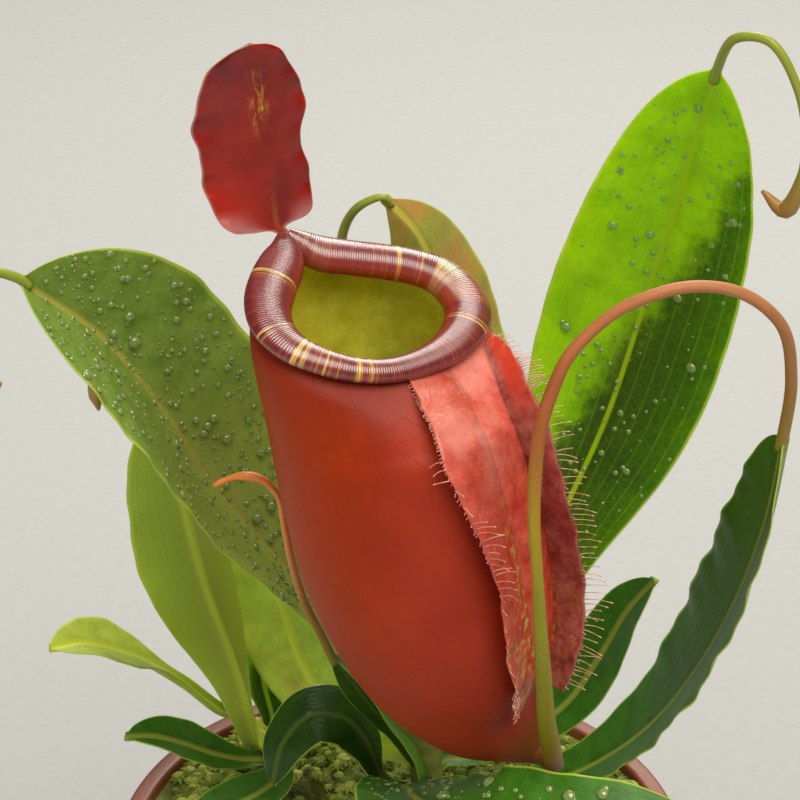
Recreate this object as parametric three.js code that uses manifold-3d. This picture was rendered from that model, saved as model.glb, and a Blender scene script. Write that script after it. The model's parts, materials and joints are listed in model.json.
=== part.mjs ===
// A potted tropical pitcher plant: a leafy rosette and a side shoot in a round pot of moss.
// One leaf carries a large open pitcher on its tendril, with a ribbed lip, a lid and two wings.
// Millimetres, +Z up. The origin is the centre of the pot's flat bottom, and the pitcher is on the -Y side.
import * as THREE from "three";
import { LoftGeometry } from "three/addons/geometries/LoftGeometry.js";
import { mergeVertices } from "three/addons/utils/BufferGeometryUtils.js";
import Module from "manifold-3d";

// Driving dimensions.
const GAP = 0.3;

const POT_HEIGHT = 104;
const POT_TOP_RADIUS = 70;
const POT_BASE_RADIUS = 52;
const POT_WALL = 2;
const POT_RIM_HEIGHT = 14;
const POT_RIM_PROUD = 2.5;
const DRAIN_HOLES = 6;
const DRAIN_RADIUS = 4;
const DRAIN_CIRCLE = 36;

const MOSS_RISE = 7;
const MOSS_BELOW_RIM = 1.5;

const LEAF_THICKNESS = 0.9;
const LEAF_STATIONS = 12;
const LEAF_SEAT = 0.8;
const LEAF_LEAD = 2.5;
const TUBE_SIDES = 8;
const TUBE_STEP = 5;

const CUP_WALL = 1.3;
const CUP_SIDES = 28;
const AROUND_STEP = 9;
const ROW_STEP = 0.7;
const LIP_THICKNESS = 4;
const LIP_STEPS = 44;
const WING_THICKNESS = 0.9;
const LID_THICKNESS = 1;
const LID_HALF_WIDTH = 15;

const wasm = await Module();
wasm.setup();

const plant = new THREE.Group();

function vec(point) {
  return new THREE.Vector3(...point);
}

function curveThrough(points, closed = false) {
  return new THREE.CatmullRomCurve3(points.map(vec), closed, "centripetal");
}

function interpolate(table, t) {
  // Straight-line reading of a table of [position, value, value...] rows.
  let k = 1;
  while (k < table.length - 1 && t > table[k][0]) k += 1;
  const [before, after] = [table[k - 1], table[k]];
  const share = THREE.MathUtils.clamp((t - before[0]) / (after[0] - before[0]), 0, 1);
  return before.slice(1).map((value, i) => THREE.MathUtils.lerp(value, after[i + 1], share));
}

// Materials, one function for each finish.
function plantTissue(color, roughness = 0.45) {
  return new THREE.MeshStandardMaterial({ color, roughness, metalness: 0, side: THREE.DoubleSide });
}

function mouldedPlastic() {
  return new THREE.MeshStandardMaterial({ color: 0x8a4a32, roughness: 0.55, metalness: 0 });
}

function liveMoss() {
  return new THREE.MeshStandardMaterial({ color: 0x8f9a3c, roughness: 0.95, metalness: 0 });
}

const COLOURS = {
  leafDeep: 0x3f7a1f,
  leafDark: 0x1f4a18,
  leafPale: 0x8f9c3a,
  leafBacklit: 0x6fa80c,
  leafFlushed: 0xa3a94a,
  stem: 0x6d6a30,
  tendrilGreen: 0x8a9a2a,
  tendrilOrange: 0xb0683c,
  cup: 0xa0321c,
  lip: 0x7b2a2e,
  lid: 0x8c231a,
  wing: 0xb8483a,
  wingShaded: 0x7a2f30,
};

function addPiece(name, geometry, material, place = [0, 0, 0]) {
  const mesh = new THREE.Mesh(geometry, material);
  mesh.name = name;
  mesh.position.set(...place);
  plant.add(mesh);
  return mesh;
}

// Joining and cutting of closed meshes.
function solidFrom(geometry) {
  const plain = new THREE.BufferGeometry();
  plain.setAttribute("position", geometry.getAttribute("position"));
  plain.setIndex(geometry.getIndex());
  const merged = mergeVertices(plain);
  return new wasm.Manifold(
    new wasm.Mesh({
      numProp: 3,
      vertProperties: merged.attributes.position.array,
      triVerts: new Uint32Array(merged.index.array),
    }),
  );
}

function geometryFrom(solid) {
  const mesh = solid.getMesh();
  const geometry = new THREE.BufferGeometry();
  geometry.setAttribute("position", new THREE.BufferAttribute(mesh.vertProperties, 3));
  geometry.setIndex(new THREE.BufferAttribute(mesh.triVerts, 1));
  const facets = geometry.toNonIndexed();
  facets.computeVertexNormals();
  return facets;
}

// A round stem or tendril whose radius changes along a curve through the points.
function tube(points, radii, sides = TUBE_SIDES) {
  const curve = curveThrough(points);
  const steps = Math.max(4, Math.round(curve.getLength() / TUBE_STEP));
  const frames = curve.computeFrenetFrames(steps, false);
  const sections = [];
  for (let i = 0; i <= steps; i += 1) {
    const [radius] = interpolate(radii, i / steps);
    const centre = curve.getPointAt(i / steps);
    const section = [];
    for (let j = 0; j < sides; j += 1) {
      const angle = (2 * Math.PI * j) / sides;
      section.push(
        centre
          .clone()
          .addScaledVector(frames.normals[i], radius * Math.cos(angle))
          .addScaledVector(frames.binormals[i], radius * Math.sin(angle)),
      );
    }
    sections.push(section);
  }
  return new LoftGeometry(sections, { capStart: true, capEnd: true });
}

// Pot and moss.
function potProfile() {
  const rimBottom = POT_HEIGHT - POT_RIM_HEIGHT;
  return [
    [0, 0],
    [POT_BASE_RADIUS, 0],
    [POT_TOP_RADIUS - 1, rimBottom],
    [POT_TOP_RADIUS + POT_RIM_PROUD, rimBottom],
    [POT_TOP_RADIUS + POT_RIM_PROUD, POT_HEIGHT],
    [POT_TOP_RADIUS - POT_WALL, POT_HEIGHT],
    [POT_BASE_RADIUS - POT_WALL, POT_WALL],
    [0, POT_WALL],
  ];
}

function lathe(profile, segments) {
  const turned = new THREE.LatheGeometry(
    profile.map(([r, z]) => new THREE.Vector2(r, z)),
    segments,
  );
  return turned.rotateX(Math.PI / 2);
}

function makePot() {
  let pot = solidFrom(lathe(potProfile(), 48));
  for (let i = 0; i < DRAIN_HOLES; i += 1) {
    const angle = (2 * Math.PI * i) / DRAIN_HOLES;
    const hole = new THREE.CylinderGeometry(DRAIN_RADIUS, DRAIN_RADIUS, 4 * POT_WALL, 12);
    hole.rotateX(Math.PI / 2);
    hole.translate(DRAIN_CIRCLE * Math.cos(angle), DRAIN_CIRCLE * Math.sin(angle), 0);
    pot = pot.subtract(solidFrom(hole));
  }
  return geometryFrom(pot);
}

// The height of the moss mound above the pot's bottom, at a distance from the pot's axis.
function mossHeight(distance) {
  const edge = POT_TOP_RADIUS - POT_WALL - GAP;
  const share = Math.min(1, distance / edge);
  return POT_HEIGHT - MOSS_BELOW_RIM + MOSS_RISE * (1 - share * share);
}

function mossProfile() {
  const floor = POT_WALL + GAP;
  const topEdge = POT_HEIGHT - MOSS_BELOW_RIM;
  const slope = (POT_TOP_RADIUS - POT_BASE_RADIUS) / (POT_HEIGHT - POT_WALL);
  const clearance = POT_WALL + 2 * GAP;
  const profile = [
    [0, floor],
    [POT_BASE_RADIUS - clearance, floor],
    [POT_BASE_RADIUS - clearance + slope * (topEdge - floor), topEdge],
  ];
  const edge = profile[2][0];
  for (const share of [0.85, 0.65, 0.4, 0.2]) profile.push([edge * share, mossHeight(edge * share)]);
  profile.push([0, mossHeight(0)]);
  return profile;
}

// Stems. Each is a short upright axis that the leaves clasp.
const MAIN_STEM = { foot: [6, 8, 88], top: [6.5, 8, 138], footRadius: 4.6, topRadius: 3.6 };
const SIDE_STEM = { foot: [-33, 27, 92], top: [-33, 27, 118], footRadius: 3.6, topRadius: 3 };

function stemTube(stem, extra = 0) {
  const [x, y, z] = stem.foot;
  const middle = stem.foot.map((value, i) => (value + stem.top[i]) / 2);
  return tube(
    [[x, y, z - extra], middle, stem.top],
    [
      [0, stem.footRadius + extra],
      [1, stem.topRadius + extra],
    ],
    12,
  );
}

// A point just off a stem's surface, at a height and a direction in degrees from +X.
function onStem(stem, degrees, z) {
  const share = (z - stem.foot[2]) / (stem.top[2] - stem.foot[2]);
  const centre = stem.foot.map((value, i) => THREE.MathUtils.lerp(value, stem.top[i], share));
  const reach = THREE.MathUtils.lerp(stem.footRadius, stem.topRadius, share) + GAP;
  const angle = THREE.MathUtils.degToRad(degrees);
  return [centre[0] + reach * Math.cos(angle), centre[1] + reach * Math.sin(angle), z];
}

function makeMoss() {
  let moss = solidFrom(lathe(mossProfile(), 40));
  for (const stem of [MAIN_STEM, SIDE_STEM]) moss = moss.subtract(solidFrom(stemTube(stem, GAP)));
  return geometryFrom(moss);
}

// Leaves. A blade is carried along its midrib: narrow at the stem, broad in the middle, drawn in at the tip.
// The two halves rise from the midrib by the fold, and the midrib stands out below.
function leafHalfWidth(leaf, s) {
  const opening = THREE.MathUtils.smoothstep(s, leaf.stalk ?? 0, leaf.widest);
  const closing = Math.max(0, (s - leaf.widest) / (1 - leaf.widest));
  const tip = Math.pow(Math.max(0, 1 - closing * closing), 0.6);
  const blade = leaf.width / 2;
  return Math.max(leaf.tipHalf ?? 1.3, THREE.MathUtils.lerp(leaf.base ?? 3.2, blade, opening) * tip);
}

// The midrib with the point where it leaves the stem and one that leads it outward.
function wholeMidrib(leaf) {
  const [stem, degrees, z] = leaf.from;
  const angle = THREE.MathUtils.degToRad(degrees);
  const root = onStem(stem, degrees, z);
  const inward = root.map((value, i) => value - LEAF_SEAT * [Math.cos(angle), Math.sin(angle), 0][i]);
  const lead = root.map((value, i) => value + LEAF_LEAD * [Math.cos(angle), Math.sin(angle), 0.7][i]);
  return [inward, lead, ...leaf.midrib];
}

function leafGeometry(leaf) {
  const curve = curveThrough(leaf.midrib);
  const faces = [vec(leaf.faceBase), vec(leaf.faceTip ?? leaf.faceBase)];
  const fold = leaf.fold ?? 0.25;
  const sections = [];
  for (let i = 0; i <= LEAF_STATIONS; i += 1) {
    const s = i / LEAF_STATIONS;
    const centre = curve.getPointAt(s);
    const tangent = curve.getTangentAt(s);
    const face = faces[0].clone().lerp(faces[1], s);
    const side = face.cross(tangent).normalize();
    const up = tangent.clone().cross(side).normalize();
    const half = leafHalfWidth(leaf, s);
    const rib = THREE.MathUtils.lerp(2.6, 1.2, s);
    const under = LEAF_THICKNESS;
    const outline = [
      [half, fold * half],
      [half / 2, (fold * half) / 2],
      [0, 0],
      [-half / 2, (fold * half) / 2],
      [-half, fold * half],
      [-half, fold * half - under],
      [-half / 2, (fold * half) / 2 - under],
      [0, -rib],
      [half / 2, (fold * half) / 2 - under],
      [half, fold * half - under],
    ];
    sections.push(
      outline.map(([a, b]) => centre.clone().addScaledVector(side, a).addScaledVector(up, b)),
    );
  }
  return new LoftGeometry(sections, { capStart: true, capEnd: true });
}

// The midribs are lists of points from the stem to the tip. A face is the way the blade's upper side looks.
const LEAVES = [
  {
    name: "leaf_left",
    from: [MAIN_STEM, 165, 126],
    midrib: [[-14, 6, 158], [-25, 4, 179], [-45, -2, 210], [-54, -7, 230], [-68, -16, 256], [-84, -28, 276]],
    width: 44,
    widest: 0.74,
    faceBase: [0.81, -0.54, 0.23],
    faceTip: [0.81, -0.54, 0.23],
    fold: 0.65,
    colour: COLOURS.leafDeep,
  },
  {
    name: "leaf_back",
    from: [MAIN_STEM, 85, 133],
    midrib: [
      [12, 20, 152], [14.5, 20, 182], [14.5, 15, 212], [12.5, 9.5, 238],
      [9.5, 4, 258], [4.5, -5, 276.5], [-3, -13, 289],
    ],
    width: 36,
    widest: 0.6,
    faceBase: [0.2, -1, 0.1],
    faceTip: [0.6, -0.75, 0.15],
    fold: -0.35,
    colour: COLOURS.leafFlushed,
  },
  {
    name: "leaf_right",
    from: [MAIN_STEM, 5, 129],
    midrib: [
      [25, 16, 148], [40, 26, 182], [51, 27, 211], [59, 25, 243],
      [65, 19, 272], [69, 10, 298], [71, 1, 314],
    ],
    width: 46,
    widest: 0.6,
    faceBase: [-0.2, -0.9, 0.3],
    faceTip: [-0.3, -0.9, 0.1],
    fold: 0.2,
    colour: COLOURS.leafBacklit,
  },
  {
    name: "leaf_carrier",
    from: [MAIN_STEM, -5, 112.5],
    midrib: [[22, 6, 114], [41, 3, 120], [60, -7, 141], [74, -22, 176], [82, -38, 216], [84, -50, 248]],
    width: 38,
    widest: 0.55,
    faceBase: [-0.1, -0.1, 1],
    faceTip: [-0.7, -0.3, 0.5],
    colour: COLOURS.leafDeep,
  },
  {
    name: "leaf_front",
    from: [MAIN_STEM, -80, 114],
    midrib: [
      [3, -10, 125], [1, -30, 142], [4, -56, 156], [14, -75, 163],
      [33, -85.3, 167], [54, -87.5, 167.5], [75, -86, 160],
    ],
    width: 32,
    widest: 0.6,
    faceBase: [0, -0.1, 1],
    faceTip: [0.1, -0.6, 0.8],
    fold: 0.15,
    colour: COLOURS.leafDeep,
  },
  {
    name: "leaf_behind",
    from: [MAIN_STEM, 120, 118],
    midrib: [[-13, 24, 121], [-25, 33, 134], [-31, 38, 151], [-38, 42, 173], [-41, 43, 194]],
    width: 26,
    widest: 0.6,
    faceBase: [-0.1, -0.9, 0.4],
    colour: COLOURS.leafPale,
  },
  {
    name: "leaf_aborted",
    from: [MAIN_STEM, -108, 119.5],
    midrib: [[4, -3, 126], [1, -10, 139], [-7, -17, 155], [-16, -20, 171]],
    width: 12,
    widest: 0.5,
    base: 2.6,
    faceBase: [-0.7, -0.6, 0.4],
    colour: COLOURS.leafDark,
  },
  {
    name: "leaf_drooping",
    from: [MAIN_STEM, 205, 113.5],
    midrib: [
      [-4, -2, 124], [-8, -5, 137], [-14, -8, 146.5],
      [-22, -11, 149], [-29, -13, 142], [-32, -15, 131],
    ],
    width: 16,
    widest: 0.62,
    base: 2.4,
    faceBase: [0.9, -0.2, 0.7],
    faceTip: [-0.6, -0.75, 0.9],
    fold: -0.1,
    colour: COLOURS.leafDark,
  },
  {
    name: "leaf_low_right",
    from: [MAIN_STEM, 45, 117],
    midrib: [[20, 15, 119], [32, 17, 124], [43, 18, 133], [51, 17, 148], [57, 13, 164], [63, 8, 176]],
    width: 17,
    widest: 0.6,
    base: 2.2,
    faceBase: [-0.3, -0.6, 0.8],
    colour: COLOURS.leafDeep,
  },
  {
    name: "leaf_lower_left",
    from: [SIDE_STEM, 190, 114.5],
    midrib: [[-40, 25, 122], [-43, 25, 138], [-50, 22, 166], [-54, 18, 190], [-56, 14, 212], [-56, 10, 230]],
    width: 27,
    widest: 0.55,
    base: 2.8,
    faceBase: [-0.7, 0.62, 0.4],
    faceTip: [-0.65, 0.6, 0.5],
    colour: COLOURS.leafPale,
  },
  {
    name: "leaf_small_a",
    from: [SIDE_STEM, 232, 110.6],
    midrib: [[-41, 20, 114], [-48, 14, 120], [-55, 7, 128], [-62, 0, 135], [-68, -6, 139]],
    width: 13,
    widest: 0.55,
    base: 2,
    faceBase: [-0.1, -0.5, 0.8],
    colour: COLOURS.leafDeep,
  },
  {
    name: "leaf_small_b",
    from: [SIDE_STEM, 298, 111.5],
    midrib: [[-31, 17, 113.5], [-33, 8, 115], [-38, -1, 117], [-46, -10, 119], [-55, -16, 118]],
    width: 14,
    widest: 0.55,
    base: 2,
    faceBase: [0, -0.3, 1],
    colour: COLOURS.leafDeep,
  },
  {
    name: "leaf_small_c",
    from: [SIDE_STEM, 100, 113],
    midrib: [[-34, 35, 117], [-36, 40, 123], [-38, 46, 132], [-41, 50, 143], [-43, 51, 154]],
    width: 13,
    widest: 0.55,
    base: 2,
    faceBase: [0.1, -0.7, 0.6],
    colour: COLOURS.leafBacklit,
  },
  {
    name: "leaf_stalked",
    from: [SIDE_STEM, 150, 116],
    midrib: [
      [-42, 31, 120], [-47, 29, 124], [-55, 23, 136], [-62, 15, 147],
      [-70, 6, 157], [-78, -3, 165], [-85, -10, 168],
    ],
    width: 16,
    widest: 0.75,
    stalk: 0.45,
    base: 1.5,
    faceBase: [0, -0.4, 0.9],
    colour: COLOURS.leafPale,
  },
];

// A leaf clasps its stem: its base starts in the stem's surface and is cut back to a small clearance.
function addLeaves() {
  for (const leaf of LEAVES) {
    const blade = solidFrom(leafGeometry({ ...leaf, midrib: wholeMidrib(leaf) }));
    const clasped = blade.subtract(solidFrom(stemTube(leaf.from[0], GAP)));
    addPiece(leaf.name, geometryFrom(clasped), plantTissue(leaf.colour));
  }
}

// The newest leaf is still rolled into a spear that stands on the stem's top.
function addSpear() {
  const [x, y, z] = MAIN_STEM.top;
  const spear = tube(
    [[x, y, z + GAP], [x - 1, y, z + 20], [x - 3, y + 1, z + 44], [x - 6, y + 3, z + 66]],
    [[0, 3], [0.35, 3.4], [0.8, 2], [1, 0.7]],
  );
  addPiece("leaf_spear", spear, plantTissue(COLOURS.leafPale));
}

// Tendrils run on from the leaf tips. The radii are rows of [share of the length, radius].
const TENDRILS = [
  {
    name: "tendril_left",
    leaf: "leaf_left",
    path: [
      [-93, -34, 281], [-101, -38, 277], [-104, -37, 264],
      [-101, -33, 251], [-95, -30, 246], [-90, -29, 251],
    ],
    radii: [[0, 1.1], [0.75, 0.9], [0.9, 2.2], [1, 0.7]],
    colour: COLOURS.tendrilGreen,
  },
  {
    name: "tendril_back",
    leaf: "leaf_back",
    path: [[-8.5, -12.5, 287.5], [-12.5, -8, 280], [-14, -3, 265], [-14, 2, 246], [-12, 6, 232]],
    radii: [[0, 1.1], [1, 1.2]],
    colour: COLOURS.tendrilGreen,
  },
  {
    name: "tendril_right",
    leaf: "leaf_right",
    path: [[74, -7, 325], [81, -12, 326], [88, -14, 314], [90, -12, 296], [87, -8, 284], [82, -6, 288]],
    radii: [[0, 1.1], [0.75, 0.9], [0.9, 2.2], [1, 0.7]],
    colour: COLOURS.tendrilGreen,
  },
  {
    name: "tendril_front",
    leaf: "leaf_front",
    path: [[82, -84, 154], [89, -81, 142], [93, -77, 126], [97, -74, 113], [101, -71, 110], [104, -70, 118]],
    radii: [[0, 1.1], [0.65, 1], [0.85, 2.4], [1, 0.7]],
    colour: COLOURS.tendrilGreen,
  },
  {
    name: "tendril_lower_left",
    leaf: "leaf_lower_left",
    path: [[-57, 8, 238], [-62, 9, 245], [-70, 10, 244], [-74, 11, 234], [-73, 12, 222]],
    radii: [[0, 1], [0.8, 0.9], [0.92, 1.8], [1, 0.6]],
    colour: COLOURS.tendrilGreen,
  },
  {
    name: "tendril_aborted",
    leaf: "leaf_aborted",
    path: [
      [-19, -24, 181], [-22.5, -29, 193], [-25, -33, 206], [-26.5, -37, 219], [-27.5, -39, 227],
      [-31, -40, 232], [-36, -40, 233], [-39, -40, 232], [-42, -41, 231],
    ],
    radii: [[0, 1.2], [0.5, 1], [0.8, 0.9], [0.9, 1.2], [1, 0.7]],
    colour: COLOURS.tendrilOrange,
  },
];

const MAIN_TENDRIL = {
  name: "tendril_main",
  leaf: "leaf_carrier",
  path: [
    [84, -57, 266], [80, -64, 283], [70, -69, 293], [58, -73, 296], [46, -75, 292.5], [39.9, -76, 288],
    [34.6, -78, 282.5], [31.4, -79, 275], [29.1, -80, 266.5], [28.2, -81, 255], [28.2, -82, 245.5],
    [29.3, -82, 231.5], [30.1, -80, 220], [31.1, -78, 207.5], [32.4, -74, 190.5], [33.8, -70.5, 180.5],
    [35.4, -66.5, 173], [36.4, -63.2, 169.8],
  ],
  radii: [[0, 1.3], [0.25, 1.35], [0.4, 1.5], [0.55, 1.6], [0.7, 1.3], [0.85, 1.9], [0.95, 2.2], [1, 2.3]],
  colour: COLOURS.tendrilOrange,
};

// The cup's foot faces along footAxis, and the main tendril ends just off it.
const CUP_FOOT = [32.3, -60, 171];
const footAxis = new THREE.Vector3(0.85, -0.45, -0.28).normalize();

function addTendril(tendril, ending = []) {
  const leaf = LEAVES.find((one) => one.name === tendril.leaf);
  const ribs = wholeMidrib(leaf);
  const tip = vec(ribs.at(-1));
  const way = curveThrough(ribs).getTangentAt(1);
  const start = tip.clone().addScaledVector(way, GAP);
  const lead = tip.clone().addScaledVector(way, 2.5);
  const points = [start.toArray(), lead.toArray(), ...tendril.path, ...ending];
  addPiece(tendril.name, tube(points, tendril.radii), plantTissue(tendril.colour, 0.4));
}

function addTendrils() {
  for (const tendril of TENDRILS) addTendril(tendril);
  const onAxis = (distance) => vec(CUP_FOOT).addScaledVector(footAxis, distance).toArray();
  addTendril(MAIN_TENDRIL, [onAxis(2.4), onAxis(GAP + 0.1)]);
}

// A small closed pitcher hangs from the back leaf's tendril.
function addYoungPitcher() {
  const carrier = TENDRILS.find((one) => one.name === "tendril_back");
  const [x, y, z] = carrier.path.at(-1);
  const way = curveThrough(carrier.path).getTangentAt(1).multiplyScalar(GAP);
  const body = tube(
    [
      [x + way.x, y + way.y, z + way.z],
      [x + 1.5, y + 2, z - 8],
      [x + 3, y + 5, z - 18],
      [x + 2, y + 8, z - 26],
      [x - 1, y + 9, z - 32],
    ],
    [[0, 1.3], [0.3, 3.4], [0.6, 5], [0.85, 4.2], [1, 1.2]],
    10,
  );
  addPiece("young_pitcher", body, plantTissue(COLOURS.leafFlushed));
}

// The big pitcher's mouth lies in a plane tilted down to the front. Its frame has the axes
// front, side (away from the viewer) and lift, about the middle of the mouth.
const MOUTH_CENTRE = vec([-6.5, -45, 276.6]);
const MOUTH_AZIMUTH = THREE.MathUtils.degToRad(-42);
const MOUTH_TILT = THREE.MathUtils.degToRad(22);
const level = new THREE.Vector3(Math.cos(MOUTH_AZIMUTH), Math.sin(MOUTH_AZIMUTH), 0);
const mouthFront = level.clone().multiplyScalar(Math.cos(MOUTH_TILT)).add(vec([0, 0, -Math.sin(MOUTH_TILT)]));
const mouthLift = level.clone().multiplyScalar(Math.sin(MOUTH_TILT)).add(vec([0, 0, Math.cos(MOUTH_TILT)]));
const mouthSide = mouthLift.clone().cross(mouthFront);

// The middle line of the lip, from the neck under the lid round the near side, front and far side
// back to the neck: [front, side, lift, half the lip's width].
const LIP_LINE = [
  [-27, -1.4, 2.2, 1.1],
  [-23, -6, 0.8, 3],
  [-17.7, -14.8, 0, 4.6],
  [-13.6, -19.4, 0, 4.9],
  [-7.8, -22.9, 0, 4.9],
  [-1.3, -23.7, 0, 4.4],
  [5.3, -21, 0, 3.8],
  [11.3, -16.2, 0, 3.4],
  [15.5, -9.2, 0, 3.3],
  [17.2, 0, 0, 3.6],
  [16.7, 9.3, 0, 4.2],
  [14.1, 17.2, 0, 4.8],
  [9.8, 22.8, 0, 4.9],
  [4, 25.3, 0, 4.6],
  [-1.9, 24.9, 0, 4.2],
  [-6.8, 21.5, 0, 3.7],
  [-11.4, 16.2, 0, 3.4],
  [-16, 10.2, 0.2, 3.4],
  [-21.6, 5, 1, 2.8],
  [-27, 1.4, 2.4, 1.1],
];

function inMouth(front, side, lift) {
  return MOUTH_CENTRE.clone()
    .addScaledVector(mouthFront, front)
    .addScaledVector(mouthSide, side)
    .addScaledVector(mouthLift, lift);
}

// The lip: a flattened band, rounded on top and rolled down at its outer edge, open only at the neck's cleft.
function makeLip() {
  const line = new THREE.CatmullRomCurve3(
    LIP_LINE.map(([f, s, l]) => new THREE.Vector3(f, s, l)),
    false,
    "centripetal",
  );
  const widths = LIP_LINE.map((row, i) => [i / (LIP_LINE.length - 1), row[3]]);
  const sections = [];
  for (let i = 0; i <= LIP_STEPS; i += 1) {
    const t = i / LIP_STEPS;
    const centre = line.getPoint(t);
    const tangent = line.getTangent(t);
    const outward = new THREE.Vector2(tangent.y, -tangent.x).normalize();
    const [half] = interpolate(widths, t);
    const thick = LIP_THICKNESS * Math.min(1, half / 3.3);
    const section = [];
    for (let j = 0; j < 10; j += 1) {
      const angle = (2 * Math.PI * j) / 10;
      const across = half * Math.cos(angle);
      const height = (thick / 2) * Math.sin(angle) - 0.03 * across * across;
      section.push(
        inMouth(centre.x + outward.x * across, centre.y + outward.y * across, centre.z + height),
      );
    }
    sections.push(section.reverse());
  }
  return new LoftGeometry(sections, { capStart: true, capEnd: true });
}

// The cup's spine: centre and radius of round sections from the foot up to the shoulder.
const CUP_SPINE = [
  [32.3, -60, 171, 2.6],
  [27.7, -57.5, 173.7, 6.8],
  [22.9, -55, 176.8, 12],
  [18.3, -53, 182.7, 17.4],
  [14.1, -51.5, 191.8, 22.6],
  [10.2, -50, 203.2, 26],
  [5.8, -49, 218.5, 28.2],
  [2.4, -48, 234.7, 28.7],
  [-0.9, -47, 249.5, 28],
];
const RIM_DROP = LIP_THICKNESS / 2 + 0.7;
const RIM_GROW = 0.7;
// Between the spine's last section and the rim: [share of the way, outward swelling].
const SHOULDER = [
  [0.25, 0.8],
  [0.5, 1.6],
  [0.72, 2.2],
  [0.88, 2],
];

// Where a ray from the mouth's middle, at an angle from the front, crosses the lip's middle line.
function rimReach(angle) {
  const ring = [...LIP_LINE.map(([f, s]) => new THREE.Vector2(f, s)), new THREE.Vector2(-27.6, 0)];
  const ray = new THREE.Vector2(Math.cos(angle), Math.sin(angle));
  let reach = 0;
  ring.forEach((from, i) => {
    const step = ring[(i + 1) % ring.length].clone().sub(from);
    const turn = ray.cross(step);
    if (Math.abs(turn) < 1e-9) return;
    const share = from.cross(ray) / turn;
    const distance = from.cross(step) / turn;
    if (share >= -1e-9 && share <= 1 + 1e-9 && distance > 0) reach = Math.max(reach, distance);
  });
  return reach;
}

// A section at the mouth, grown outward and lowered square to the mouth.
function rimSection(grow, drop) {
  const section = [];
  for (let j = 0; j < CUP_SIDES; j += 1) {
    const angle = (2 * Math.PI * j) / CUP_SIDES;
    const reach = rimReach(angle) + grow;
    section.push(inMouth(reach * Math.cos(angle), reach * Math.sin(angle), -drop));
  }
  return section;
}

// A round section square to the spine, with its first point towards the front.
function spineSection(k, inset) {
  const here = vec(CUP_SPINE[k]);
  const before = vec(CUP_SPINE[Math.max(0, k - 1)]);
  const after = vec(CUP_SPINE[Math.min(CUP_SPINE.length - 1, k + 1)]);
  const along = k === 0 ? footAxis.clone().negate() : after.sub(before).normalize();
  const side = along.clone().cross(mouthFront).normalize();
  const front = side.clone().cross(along);
  const radius = CUP_SPINE[k][3] - inset;
  const section = [];
  for (let j = 0; j < CUP_SIDES; j += 1) {
    const angle = (2 * Math.PI * j) / CUP_SIDES;
    section.push(
      here
        .clone()
        .addScaledVector(front, radius * Math.cos(angle))
        .addScaledVector(side, radius * Math.sin(angle)),
    );
  }
  return section;
}

// The sections of the cup's outside, from the foot up to just below the lip, drawn in by an inset.
function cupSections(first, inset) {
  const sections = [];
  for (let k = first; k < CUP_SPINE.length; k += 1) sections.push(spineSection(k, inset));
  const low = spineSection(CUP_SPINE.length - 1, inset);
  const rim = rimSection(RIM_GROW - inset, RIM_DROP);
  const middle = MOUTH_CENTRE.clone().sub(vec(CUP_SPINE.at(-1)));
  for (const [share, swelling] of SHOULDER) {
    const centre = vec(CUP_SPINE.at(-1)).addScaledVector(middle, share);
    sections.push(
      low.map((point, j) => {
        const place = point.clone().lerp(rim[j], share);
        return place.addScaledVector(place.clone().sub(centre).normalize(), swelling);
      }),
    );
  }
  sections.push(rim);
  return sections;
}

// The hollow inside starts above the foot and runs out above the rim.
function makeCup() {
  const caps = { capStart: true, capEnd: true };
  const hollow = [...cupSections(2, CUP_WALL), rimSection(RIM_GROW - CUP_WALL, RIM_DROP - 3)];
  const outside = solidFrom(new LoftGeometry(cupSections(0, 0), caps));
  const inside = solidFrom(new LoftGeometry(hollow, caps));
  return geometryFrom(outside.subtract(inside));
}

// A point on the cup's outside: the row counts the sections from the foot, 0, upwards, and the turn is in
// degrees from the front towards the far side.
const CUP_SKIN = cupSections(0, 0);

function cupPoint(row, degrees) {
  const k = THREE.MathUtils.clamp(Math.floor(row), 0, CUP_SKIN.length - 2);
  const turn = ((degrees / 360 + 1) % 1) * CUP_SIDES;
  const j = Math.floor(turn);
  const onRow = (section) => section[j].clone().lerp(section[(j + 1) % CUP_SIDES], turn - j);
  return onRow(CUP_SKIN[k]).lerp(onRow(CUP_SKIN[k + 1]), row - k);
}

// The same point standing off the surface, along the outward direction averaged over its surroundings.
function onCup(row, degrees, off) {
  const around = cupPoint(row, degrees + AROUND_STEP).sub(cupPoint(row, degrees - AROUND_STEP));
  const upward = cupPoint(row + ROW_STEP, degrees).sub(cupPoint(row - ROW_STEP, degrees));
  return cupPoint(row, degrees).addScaledVector(around.cross(upward).normalize(), off);
}

// A wing is a thin ribbon from a root line on the cup to a free edge: rows of
// [cup row, root's turn, free edge's turn, free edge's distance off the cup].
const NEAR_WING = [
  [12.3, 13, -19, 1.6],
  [11, 6.5, -21, 2.6],
  [10, 2, -22, 3.6],
  [9, -1.5, -23.5, 4.8],
  [8, -4, -24.5, 5.5],
  [7, -4, -19.5, 5.6],
  [6, -2, -15, 5.8],
  [5, -1, -17, 5.4],
  [4, 3, -14, 4.4],
  [3, 9, -8, 3],
];
const FAR_WING = [
  [12, 46.5, 56, 1.8],
  [11, 40.5, 50, 4],
  [10, 35, 41, 5.6],
  [9, 29.5, 31, 6.8],
  [8, 24, 24, 7.6],
  [7, 28, 21, 8.6],
  [6, 34, 27, 8.2],
  [5, 36, 28, 8],
  [4, 33, 23, 7.6],
  [3, 29, 24, 6.4],
];
const WING_SEAT = 0.7;

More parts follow.
